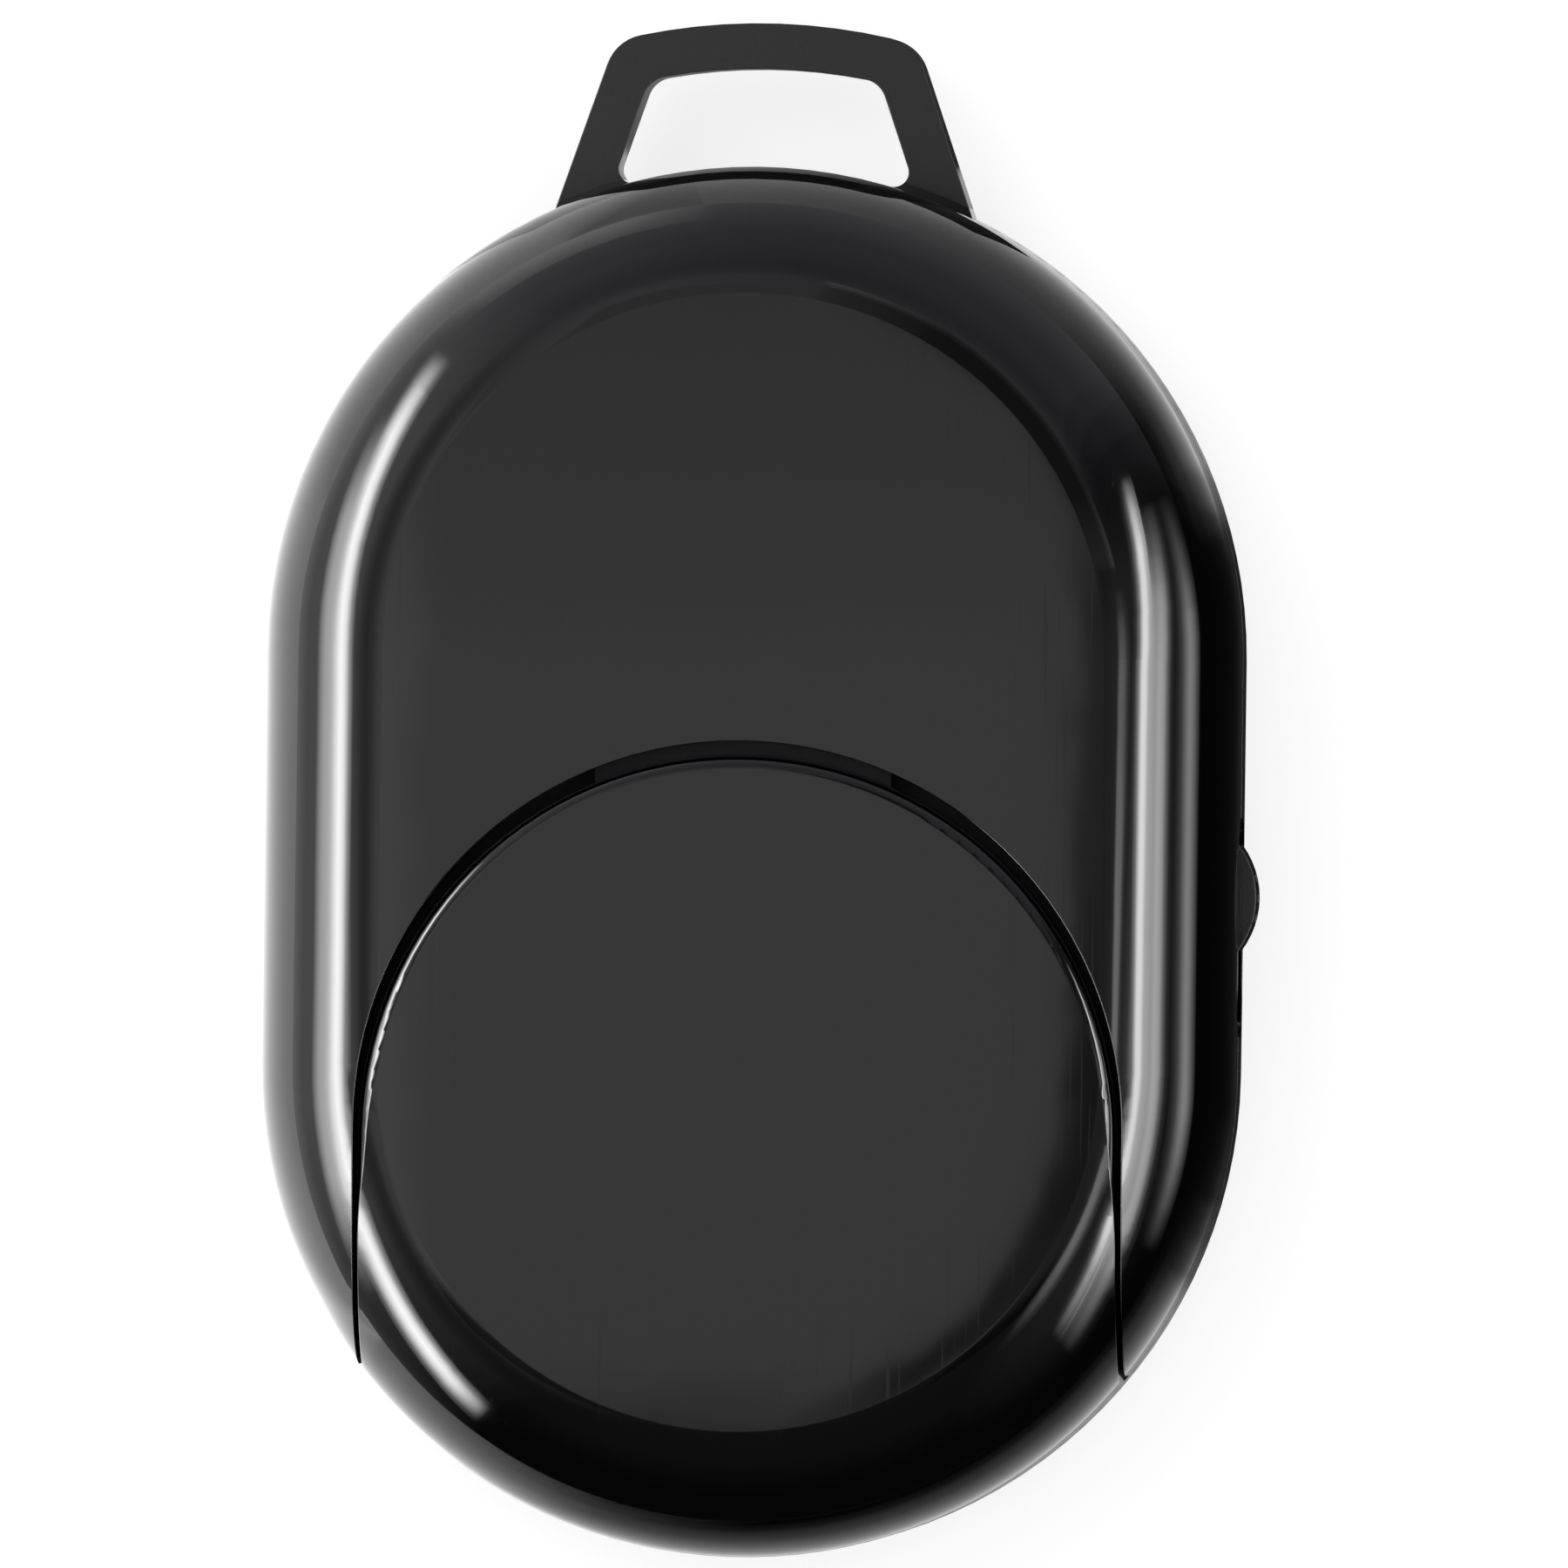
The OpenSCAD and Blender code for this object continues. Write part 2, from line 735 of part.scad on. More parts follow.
module board_screws() {
    slot_t = 0.35;
    slot_h = 0.5;
    color(steel_grey)
        at_screws()
            difference() {
                union() {
                    translate([0, 0, board_hi]) cylinder(d = screw_head_d, h = screw_head_h);
                    translate([0, 0, board_lo - screw_l + run_gap])
                        cylinder(r = screw_r, h = screw_l + board_t - run_gap);
                }
                for (turn = [0, 90])
                    rotate([0, 0, turn])
                        block(0, 0, screw_head_d / 2, slot_t, board_hi + screw_head_h - slot_h,
                            board_hi + screw_head_h + over);
            }
}

// Slide switch: a moulded base, a bent metal frame over it, the lever and its soldered legs
slide_x = slide_out - slide_w / 2;
slide_y = knob_y - knob_travel / 2;
slide_leg_w = 0.5;
slide_leg_l = 0.9;

module slide_switch_base() {
    color(chip_black)
        difference() {
            block(slide_x, slide_y, slide_w - 2 * frame_t, slide_l - 2 * frame_t, slide_lo + frame_t,
                board_lo);
            block(slide_out, slide_y, slide_w, lever_w + knob_travel + 2 * run_gap,
                lever_z - lever_h / 2 - fit_gap, lever_z + lever_h / 2 + fit_gap);
        }
}

module slide_switch_frame() {
    color(bright_metal)
        difference() {
            block(slide_x, slide_y, slide_w, slide_l, slide_lo, board_lo - fit_gap);
            block(slide_x, slide_y, slide_w - 2 * frame_t, slide_l - 2 * frame_t, slide_lo + frame_t,
                board_lo + over);
            block(slide_out, slide_y, slide_w, lever_w + knob_travel + 2 * run_gap,
                lever_z - lever_h / 2 - fit_gap, lever_z + lever_h / 2 + fit_gap);
        }
}

module slide_switch_lever() {
    x_in = slide_x + run_gap;
    x_out = knob_flange_in + lever_l - 2 * run_gap;
    color(switch_white)
        block((x_in + x_out) / 2, knob_y, x_out - x_in, lever_w, lever_z - lever_h / 2,
            lever_z + lever_h / 2);
}

module slide_switch_legs() {
    color(bright_metal)
        for (i = [-1 : 1])
            block(slide_out - slide_w - slide_leg_l / 2, slide_y + i * slide_l / 3, slide_leg_l, slide_leg_w,
                board_lo - frame_t, board_lo);
}

// Push switches: a base with a snap dome, a plate with a hole and the stem through it
plate_t = 0.2;
dome_h = 0.4;
dome_t = 0.08;
tact_wall = 0.5;
tact_bore_r = tact_w / 2 - tact_wall;
stem_foot_r = tact_bore_r - run_gap;
stem_foot_t = 0.5;
stem_foot_lo = board_lo - tact_h + plate_t + fit_gap;
dome_lo = stem_foot_lo + stem_foot_t + press_travel + fit_gap;
floor_t = board_lo - dome_lo - dome_h;

module switch_base(y) {
    color(chip_black)
        difference() {
            block(0, y, tact_w, tact_w, board_lo - tact_h + plate_t, board_lo);
            translate([0, y, board_lo - tact_h]) cylinder(r = tact_bore_r, h = tact_h - floor_t);
        }
}

module switch_plate(y) {
    color(bright_metal)
        difference() {
            block(0, y, tact_w, tact_w, board_lo - tact_h, board_lo - tact_h + plate_t);
            translate([0, y, board_lo - tact_h - over])
                cylinder(d = stem_d + 2 * run_gap, h = plate_t + 2 * over);
        }
}

module switch_dome(y) {
    r = tact_bore_r - run_gap;
    ball = (r * r + dome_h * dome_h) / (2 * dome_h);
    color(bright_metal)
        translate([0, y, 0])
            rotate_extrude()
                intersection() {
                    translate([0, dome_lo + ball])
                        difference() {
                            circle(r = ball, $fn = shallow_fn);
                            circle(r = ball - dome_t, $fn = shallow_fn);
                        }
                    translate([0, dome_lo]) square([r, dome_h]);
                }
}

module switch_stem(y) {
    color(switch_white)
        translate([0, y, 0]) {
            translate([0, 0, stem_end]) cylinder(d = stem_d, h = stem_foot_lo + stem_foot_t - stem_end);
            translate([0, 0, stem_foot_lo]) cylinder(r = stem_foot_r, h = stem_foot_t);
        }
}

module shutter_switch_base() {
    switch_base(large_y);
}

module shutter_switch_plate() {
    switch_plate(large_y);
}

module shutter_switch_dome() {
    switch_dome(large_y);
}

module shutter_switch_stem() {
    switch_stem(large_y);
}

module second_switch_base() {
    switch_base(small_y);
}

module second_switch_plate() {
    switch_plate(small_y);
}

module second_switch_dome() {
    switch_dome(small_y);
}

module second_switch_stem() {
    switch_stem(small_y);
}

push_leg_w = 0.6;
push_leg_l = 0.9;
push_leg_pitch = 3;

module push_switch_legs() {
    color(bright_metal)
        for (y = [large_y, small_y], side = [-1, 1], i = [-0.5, 0.5])
            block(side * (tact_w / 2 + push_leg_l / 2), y + i * push_leg_pitch, push_leg_l, push_leg_w,
                board_lo - plate_t, board_lo);
}

// Coin cell: the can is the plus pole and faces the cover, the cap is the minus pole below
can_t = 0.25;
can_round = 0.2;
cap_step = 0.25;
cap_in = 1.6;
crimp_in = 0.9;
gasket_t = 0.3;
crimp_z = cell_lo + cap_step + can_t;

module can_outline() {
    lo = cell_lo + cap_step;
    translate([0, lo]) square([cell_r - can_round, cell_hi - lo]);
    translate([0, lo + can_round]) square([cell_r, cell_hi - lo - 2 * can_round]);
    for (z = [lo + can_round, cell_hi - can_round])
        translate([cell_r - can_round, z]) circle(r = can_round);
}

module cell_can() {
    color(bright_metal)
        translate([0, cover_y, 0])
            rotate_extrude()
                difference() {
                    can_outline();
                    square([cell_r - crimp_in, crimp_z]);
                    translate([0, crimp_z]) square([cell_r - can_t, cell_hi - can_t - crimp_z]);
                }
}

module cell_gasket() {
    color(chip_black)
        translate([0, cover_y, 0])
            rotate_extrude()
                polygon([
                    [cell_r - cap_in, cell_lo + cap_step / 2], [cell_r - crimp_in, cell_lo + cap_step / 2],
                    [cell_r - crimp_in, crimp_z], [cell_r - can_t, crimp_z],
                    [cell_r - can_t, crimp_z + gasket_t], [cell_r - cap_in, crimp_z + gasket_t]
                ]);
}

module cell_cap() {
    color(steel_grey)
        translate([0, cover_y, 0])
            rotate_extrude()
                polygon([
                    [0, cell_lo], [cell_r - cap_in - can_round, cell_lo],
                    [cell_r - cap_in, cell_lo + can_round],
                    [cell_r - cap_in, cell_hi - can_t], [0, cell_hi - can_t]
                ]);
}

// Contacts: bent strips of spring bronze soldered to the board
strip_t = 0.15;
leaf_w = 1.8;
leaf_l = 4.2;
leaf_tip = 0.8;
leaf_pitch = 3.6;
base_l = 2.4;
bow_w = 4;
bow_foot = 1.5;
bow_gap = 0.03;

// A leaf that climbs from the base to the cell and turns down at its tip
module spring_leaf() {
    lo = board_hi;
    hi = cell_lo - bow_gap;
    rotate([90, 0, 90])
        linear_extrude(height = leaf_w, center = true)
            polygon([
                [0, lo], [base_l / 2, lo], [leaf_l, hi - strip_t], [leaf_l + leaf_tip, hi - 2 * strip_t],
                [leaf_l + leaf_tip, hi - strip_t], [leaf_l, hi], [base_l / 2, lo + strip_t],
                [0, lo + strip_t]
            ]);
}

module negative_contact() {
    color(gold_plate)
        translate([0, cover_y, 0]) {
            block(0, 0, 2 * leaf_pitch + leaf_w, base_l, board_hi, board_hi + strip_t);
            for (i = [-1 : 1])
                translate([i * leaf_pitch, 0, 0]) rotate([0, 0, i == 0 ? 180 : 0]) spring_leaf();
        }
}

module positive_contact() {
    cell_y = cover_y + cell_r + bow_gap;
    leg_y = cover_y + well_r + well_t;
    mid_z = (cell_lo + cell_hi) / 2;
    head_z = deck_lo - over / 2 - run_gap;
    color(gold_plate)
        rotate([90, 0, 90])
            linear_extrude(height = bow_w, center = true)
                polygon([
                    [leg_y + bow_foot, board_hi], [leg_y + bow_foot, board_hi + strip_t],
                    [leg_y + strip_t, board_hi + strip_t], [cell_y + strip_t, mid_z],
                    [leg_y + strip_t, head_z], [leg_y, head_z], [cell_y, mid_z], [leg_y, board_hi]
                ]);
}

// Small parts on the board's front side, in the space between the two push switches
chips_y = (large_y + small_y) / 2;
radio_x = -4.6;
memory_x = 3;
memory_w = 3.9;
memory_l = 4.9;
memory_leg_pitch = 1.27;
memory_leg_l = 1;
memory_leg_w = 0.4;
memory_leg_z = 0.55;
crystal_x = -6.6;
crystal_y = chips_y + radio_w;
crystal_w = 3.2;
crystal_l = 2.5;
crystal_h = 0.75;
chip_part_l = 1.6;
chip_part_w = 0.8;
chip_part_h = 0.5;
chip_part_step = 1.9;

module radio_chip() {
    color(chip_black) block(radio_x, chips_y, radio_w, radio_w, board_lo - chip_h, board_lo);
}

module memory_chip() {
    color(chip_black)
        block(memory_x, chips_y, memory_w, memory_l, board_lo - chip_h - strip_t, board_lo - strip_t);
}

// A leg that leaves the chip's side at mid-height, steps up and lies on the board
module gull_leg() {
    knee = memory_leg_l / 2;
    rotate([90, 0, 0])
        linear_extrude(height = memory_leg_w, center = true)
            polygon([
                [0, -memory_leg_z], [0, strip_t - memory_leg_z], [knee - strip_t, strip_t - memory_leg_z],
                [knee - strip_t / 2, 0], [memory_leg_l, 0], [memory_leg_l, -strip_t],
                [knee + strip_t / 2, -strip_t], [knee, -memory_leg_z]
            ]);
}

module memory_chip_legs() {
    color(bright_metal)
        translate([memory_x, chips_y, board_lo])
            for (side = [0, 1], i = [-1.5 : 1.5])
                mirror([side, 0, 0]) translate([memory_w / 2, i * memory_leg_pitch, 0]) gull_leg();
}

module crystal_can() {
    color(steel_grey) block(crystal_x, crystal_y, crystal_w, crystal_l, board_lo - crystal_h, board_lo);
}

module indicator_led() {
    color(switch_white) block(0, lens_y, led_w, led_l, board_lo - led_h, board_lo);
}

// A row of count small parts along y, centred on a place
module part_row(x, y, count) {
    for (i = [0 : count - 1])
        block(x, y + (i - (count - 1) / 2) * chip_part_step, chip_part_l, chip_part_w,
            board_lo - chip_part_h, board_lo);
}

capacitor_x = 8.6;
resistor_x = 5.2;

module capacitors() {
    color(ceramic_tan) {
        part_row(-capacitor_x, chips_y, 3);
        part_row(capacitor_x, small_y, 3);
    }
}

module resistors() {
    color(chip_black)
        both_sides() part_row(resistor_x, small_y, 3);
}

// The aerial: a printed meander at the board's head
trace_t = 0.05;
trace_w = 0.5;
meander_pitch = 1.3;
meander_h = 2;
meander_in = 1.7;
meander_y = body_l / 2 - board_in - meander_in;
meander_turns = 4;

module antenna_trace() {
    color(copper_red)
        for (i = [0 : meander_turns - 1]) {
            x = (i - (meander_turns - 1) / 2) * meander_pitch;
            block(x, meander_y, trace_w, meander_h, board_hi, board_hi + trace_t);
            if (i < meander_turns - 1)
                block(x + meander_pitch / 2, meander_y + (i % 2 == 0 ? 1 : -1) * (meander_h - trace_w) / 2,
                    meander_pitch, trace_w, board_hi, board_hi + trace_t);
        }
}

front_shell();
back_shell();
battery_cover();
shutter_button();
shutter_ring();
second_button();
second_ring();
indicator_lens();
power_knob();
circuit_board();
board_screws();
slide_switch_base();
slide_switch_frame();
slide_switch_lever();
slide_switch_legs();
shutter_switch_base();
shutter_switch_plate();
shutter_switch_dome();
shutter_switch_stem();
second_switch_base();
second_switch_plate();
second_switch_dome();
second_switch_stem();
push_switch_legs();
cell_can();
cell_gasket();
cell_cap();
negative_contact();
positive_contact();
radio_chip();
memory_chip();
memory_chip_legs();
crystal_can();
indicator_led();
capacitors();
resistors();
antenna_trace();
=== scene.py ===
"""Studio picture of a pocket camera remote: finishes for every piece, a lit table and a camera.

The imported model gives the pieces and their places. Lengths are metres unless a name ends in _mm or
a comment says otherwise. +Z points out of the back face with the battery cover, and the lanyard loop
points along +Y.
"""
import math

import bpy
from mathutils import Matrix, Vector


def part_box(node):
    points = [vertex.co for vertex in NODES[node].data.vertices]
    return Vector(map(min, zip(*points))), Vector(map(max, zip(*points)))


bl_info = {
    "name": "Pocket camera remote",
    "version": (1, 0, 0),
    "blender": (4, 5, 0),
    "location": "View3D > Sidebar > Remote",
    "description": "Finishes, table, lights and camera for a pocket camera remote",
    "category": "Object",
}

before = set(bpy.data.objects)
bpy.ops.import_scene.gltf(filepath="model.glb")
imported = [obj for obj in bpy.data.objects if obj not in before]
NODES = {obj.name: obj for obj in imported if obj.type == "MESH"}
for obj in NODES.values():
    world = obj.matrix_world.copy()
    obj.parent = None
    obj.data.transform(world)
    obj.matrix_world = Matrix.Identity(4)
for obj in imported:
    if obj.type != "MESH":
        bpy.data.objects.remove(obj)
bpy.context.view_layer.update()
MM = 0.001

# Real sizes that the imported model gives
_, BODY_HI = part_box("back_shell")
CELL_LO, CELL_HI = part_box("cell_can")
SHELL_LO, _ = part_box("front_shell")
TOP = BODY_HI.z
FACE = SHELL_LO.z
# Rounds of the housing's back and front edges, and how deep its polish reaches into a gap, below which the
# walls carry a painted shade
BACK_ROUND = 4.3 * MM
FRONT_ROUND = 2.6 * MM
SKIN = 0.25 * MM
# What a hairline adds to the roughness of the polished skin, and the skin's index and full sheen
HAIRLINE_BLUR = 0.05
ABS_IOR = 1.48
FULL_SHEEN = 0.5
# Faces inside come from a coarse eroded tool. Their sheen is cut to a trace, a painted shade that makes the
# narrow seam gaps read black
INNER_ROUGHNESS = 0.75
INNER_PAINTED_SHADE_SHEEN = 0.03
INNER_COLOUR = "#1B1B1D"
# The range in which most of a noise lies
NOISE_LOW = 0.3
NOISE_HIGH = 0.7
# Steps of the softened edges
BEVEL_SAMPLES = 8
# The plus sign on the cell: half its length, half a bar's width, its soft border, and how far it
# lies from the cell's middle
PLUS_ARM = 1.8 * MM
PLUS_BAR = 0.4 * MM
PLUS_BLUR = 0.08 * MM
PLUS_OFFSET = 5 * MM

# The stage: half the table's width, the lamp, and the distances at which the cards hang in front of
# each other
TABLE_HALF = 3.0
LAMP_WIDTH = 0.5
LAMP_PLACE = (-0.4, 0.35, 0.8)
NEAR = 0.5
NEARER = 0.9 * NEAR
FAR = 1.0
FAR_FRONT = 0.9 * FAR
FARTHEST = 1.1 * FAR
CARD_STEPS = 32
# In millimetres: the middles of the body's end arcs along Y, and the points at the flags' height that
# the camera sees mirrored there in the flat back
ARC_MIDDLE = 7
MIRRORED_X = -6.3
MIRRORED_HEAD_Y = 7.3
MIRRORED_FOOT_Y = -7.7
FLAG_HEIGHT = 98


def linear(hex_colour):
    """An sRGB hex value as linear red, green and blue."""
    parts = [int(hex_colour[i:i + 2], 16) / 255 for i in (1, 3, 5)]
    return tuple(c / 12.92 if c <= 0.04045 else ((c + 0.055) / 1.055) ** 2.4 for c in parts)


def rgba(colour):
    """A linear colour, or a hex value, with full alpha."""
    return (*(linear(colour) if isinstance(colour, str) else colour), 1.0)


def add(tree, kind, inputs=None, **settings):
    """Adds a node with its settings; each input is given a value, or the socket that feeds it."""
    made = tree.nodes.new(kind)
    for name, value in settings.items():
        setattr(made, name, value)
    for name, value in (inputs or {}).items():
        if isinstance(value, bpy.types.NodeSocket):
            tree.links.new(value, made.inputs[name])
        else:
            made.inputs[name].default_value = value
    return made


def new_material(name):
    """An empty node material and its tree."""
    material = bpy.data.materials.new(name)
    material.use_nodes = True
    material.node_tree.nodes.clear()
    return material, material.node_tree


def pattern_scale(size_mm):
    """The scale at which a texture's cell is as wide as a real size."""
    return 1 / (size_mm * MM)


def dress(material, *names):
    """Gives CAD nodes one material."""
    for name in names:
        slots = NODES[name].data.materials
        slots.clear()
        slots.append(material)


class RemoteHousing(bpy.types.PropertyGroup):
    """Finish of the moulded shells, the cover and the caps"""
    colour: bpy.props.FloatVectorProperty(
        name="Colour", description="Colour of the moulded plastic", subtype="COLOR",
        default=linear("#030304"), min=0, max=1)
    roughness: bpy.props.FloatProperty(
        name="Roughness", description="Roughness of the polished skin", subtype="FACTOR",
        default=0.05, min=0, max=1)
    ripple: bpy.props.FloatProperty(
        name="Ripple", description="Height of the slow waves in the polished skin", unit="LENGTH",
        default=0.008 * MM, min=0, max=0.1 * MM)
    edge_round: bpy.props.FloatProperty(
        name="Edge round", description="Radius of the softened edges along the seams", unit="LENGTH",
        default=0.06 * MM, min=0, max=0.4 * MM)
    dull_roughness: bpy.props.FloatProperty(
        name="Dull roughness", description="Roughness of the loop, which the polish leaves out",
        subtype="FACTOR", default=0.3, min=0, max=1)


class RemoteTrim(bpy.types.PropertyGroup):
    """Finish of the bright rings, the light pipe and the knob"""
    chrome: bpy.props.FloatVectorProperty(
        name="Chrome", description="Colour of the plated rings", subtype="COLOR",
        default=linear("#D6D9DC"), min=0, max=1)
    lens: bpy.props.FloatVectorProperty(
        name="Lens", description="Colour of the light pipe", subtype="COLOR",
        default=linear("#F4F8FA"), min=0, max=1)
    knob: bpy.props.FloatVectorProperty(
        name="Knob", description="Colour of the slide knob", subtype="COLOR",
        default=linear("#0A0A0B"), min=0, max=1)
    knob_grain: bpy.props.FloatProperty(
        name="Knob grain", description="Width of a grain of the knob's eroded skin", unit="LENGTH",
        default=0.12 * MM, min=0.02 * MM, max=1 * MM)


class RemoteInside(bpy.types.PropertyGroup):
    """Finish of the board, the switches and the cell"""
    mask: bpy.props.FloatVectorProperty(
        name="Solder mask", description="Colour of the board's lacquer", subtype="COLOR",
        default=linear("#0F4A2A"), min=0, max=1)
    thread: bpy.props.FloatProperty(
        name="Thread", description="Spacing of the glass threads in the board", unit="LENGTH",
        default=0.5 * MM, min=0.1 * MM, max=2 * MM)
    steel: bpy.props.FloatVectorProperty(
        name="Cell steel", description="Colour of the coin cell's can", subtype="COLOR",
        default=linear("#C9C8C4"), min=0, max=1)
    gold: bpy.props.FloatVectorProperty(
        name="Contact", description="Colour of the spring contacts", subtype="COLOR",
        default=linear("#D9B36A"), min=0, max=1)
    tin: bpy.props.FloatVectorProperty(
        name="Tin", description="Colour of the tinned legs and frames", subtype="COLOR",
        default=linear("#CBCDCF"), min=0, max=1)


class RemoteStage(bpy.types.PropertyGroup):
    """The table, the lights and the camera"""
    floor: bpy.props.FloatVectorProperty(
        name="Table", description="Colour of the table", subtype="COLOR",
        default=linear("#B4B4B4"), min=0, max=1)
    lift: bpy.props.FloatProperty(
        name="Table lift", description="Light that the table adds for the camera and in polished surfaces",
        default=0.72, min=0, max=1)
    fill: bpy.props.FloatProperty(
        name="Fill", description="Strength of the light from all round on dull surfaces",
        default=0.86, min=0, max=2)
    key: bpy.props.FloatProperty(
        name="Key", description="Power of the soft lamp at the upper left", unit="POWER",
        default=1.8, min=0, max=50)
    lean: bpy.props.FloatProperty(
        name="Camera lean", description="Angle of the view off the back face, towards the knob's side",
        subtype="ANGLE", default=math.radians(4), min=-1, max=1)
    roll: bpy.props.FloatProperty(
        name="Camera roll", description="How far the remote's head leans to the right in the picture",
        subtype="ANGLE", default=math.radians(0.79), min=-1, max=1)
    distance: bpy.props.FloatProperty(
        name="Camera distance", description="Distance from the camera to the back face", unit="LENGTH",
        default=1.2, min=0.1, max=3)
    picture: bpy.props.FloatProperty(
        name="Picture width", description="Width at the back face that fills the picture", unit="LENGTH",
        default=52.8 * MM, min=0.02, max=0.3)
    middle: bpy.props.FloatVectorProperty(
        name="Picture middle", description="Point of the back face in the middle of the picture",
        size=2, unit="LENGTH", default=(1.44 * MM, 2.65 * MM))


# Materials

def polished_abs(name, colour, roughness, ripple, edge_round, dull_roughness):
    """ABS, injection moulded in a polished tool.

    The eye gets a deep black with mirror-sharp lights. They wander a little, because the skin sinks
    as it cools, and fine hairlines from the pocket blur them in places.
    """
    material, tree = new_material(name)
    place = add(tree, "ShaderNodeTexCoord").outputs["Object"]
    # Slow waves of the skin, some 4 mm long, with a weaker set at 1.2 mm
    waves = add(tree, "ShaderNodeTexNoise", {
        "Vector": place, "Scale": pattern_scale(4), "Detail": 1.0, "Roughness": 0.4})
    small_waves = add(tree, "ShaderNodeTexNoise", {
        "Vector": place, "Scale": pattern_scale(1.2), "Detail": 0.0})
    height = add(tree, "ShaderNodeMath", {
        0: small_waves.outputs["Fac"], 1: 0.1, 2: waves.outputs["Fac"]}, operation="MULTIPLY_ADD")
    # The polish of the tool softens the sharp edges of the moulding
    edges = add(tree, "ShaderNodeBevel", {"Radius": edge_round}, samples=BEVEL_SAMPLES)
    normal = add(tree, "ShaderNodeBump", {
        "Strength": 1.0, "Distance": ripple, "Height": height.outputs[0], "Normal": edges.outputs[0]})
    # Hairlines: the crests of a noise that is stretched 50 times along the remote's length, in two
    # sets. The turn only lets the sets differ. Real hairlines are some 0.01 mm wide, and they are
    # drawn coarser, 0.15 mm apart, so that a picture of the whole remote shows them
    lines = []
    for turn in (0.5, -1.1):
        turned = add(tree, "ShaderNodeMapping", {
            "Vector": place, "Rotation": (0, 0, turn), "Scale": (1, 0.02, 1)})
        streaks = add(tree, "ShaderNodeTexNoise", {
            "Vector": turned.outputs[0], "Scale": pattern_scale(0.15), "Detail": 2.0})
        lines.append(add(tree, "ShaderNodeMapRange", {
            "Value": streaks.outputs["Fac"], "From Min": 0.66, "From Max": 0.74,
            "To Min": 0.0, "To Max": HAIRLINE_BLUR}).outputs[0])
    hair = add(tree, "ShaderNodeMath", {0: lines[0], 1: lines[1]}, operation="ADD")
    shiny = add(tree, "ShaderNodeMath", {0: hair.outputs[0], 1: roughness}, operation="ADD")
    # The tool isn't polished on the loop, nor inside the skin: a spark grain, drawn at 0.08 mm
    # where a real one is about 0.03 mm
    outside, body = outer_skin(tree, place)
    dull = add(tree, "ShaderNodeMix", {0: body, 2: dull_roughness, 3: INNER_ROUGHNESS})
    rough = add(tree, "ShaderNodeMix", {0: outside, 2: dull.outputs[0], 3: shiny.outputs[0]})
    # The pits scatter some light, so that a face in the open bay reads as dark grey. Inside faces keep only
    # a trace of sheen: painted shade, so that the seam gaps read black
    loop = add(tree, "ShaderNodeMath", {0: 1.0, 1: body}, operation="SUBTRACT").outputs[0]
    bright = add(tree, "ShaderNodeMath", {0: loop, 1: outside}, operation="MAXIMUM").outputs[0]
    sheen = add(tree, "ShaderNodeMix", {0: bright, 2: INNER_PAINTED_SHADE_SHEEN, 3: FULL_SHEEN})
    tone = add(tree, "ShaderNodeMix", {
        0: bright, 6: rgba(INNER_COLOUR), 7: rgba(colour)}, data_type="RGBA")
    grain = add(tree, "ShaderNodeTexNoise", {
        "Vector": place, "Scale": pattern_scale(0.08), "Detail": 2.0})
    inside = add(tree, "ShaderNodeMath", {0: 1.0, 1: outside}, operation="SUBTRACT")
    pits = add(tree, "ShaderNodeMath", {
        0: grain.outputs["Fac"], 1: inside.outputs[0]}, operation="MULTIPLY")
    grained = add(tree, "ShaderNodeBump", {
        "Strength": 1.0, "Distance": 0.004 * MM, "Height": pits.outputs[0],
        "Normal": normal.outputs[0]})
    shader = add(tree, "ShaderNodeBsdfPrincipled", {
        "Base Color": tone.outputs[2], "Roughness": rough.outputs[0], "IOR": ABS_IOR,
        "Specular IOR Level": sheen.outputs[0], "Normal": grained.outputs[0]})
    add(tree, "ShaderNodeOutputMaterial", {"Surface": shader.outputs[0]})
    return material


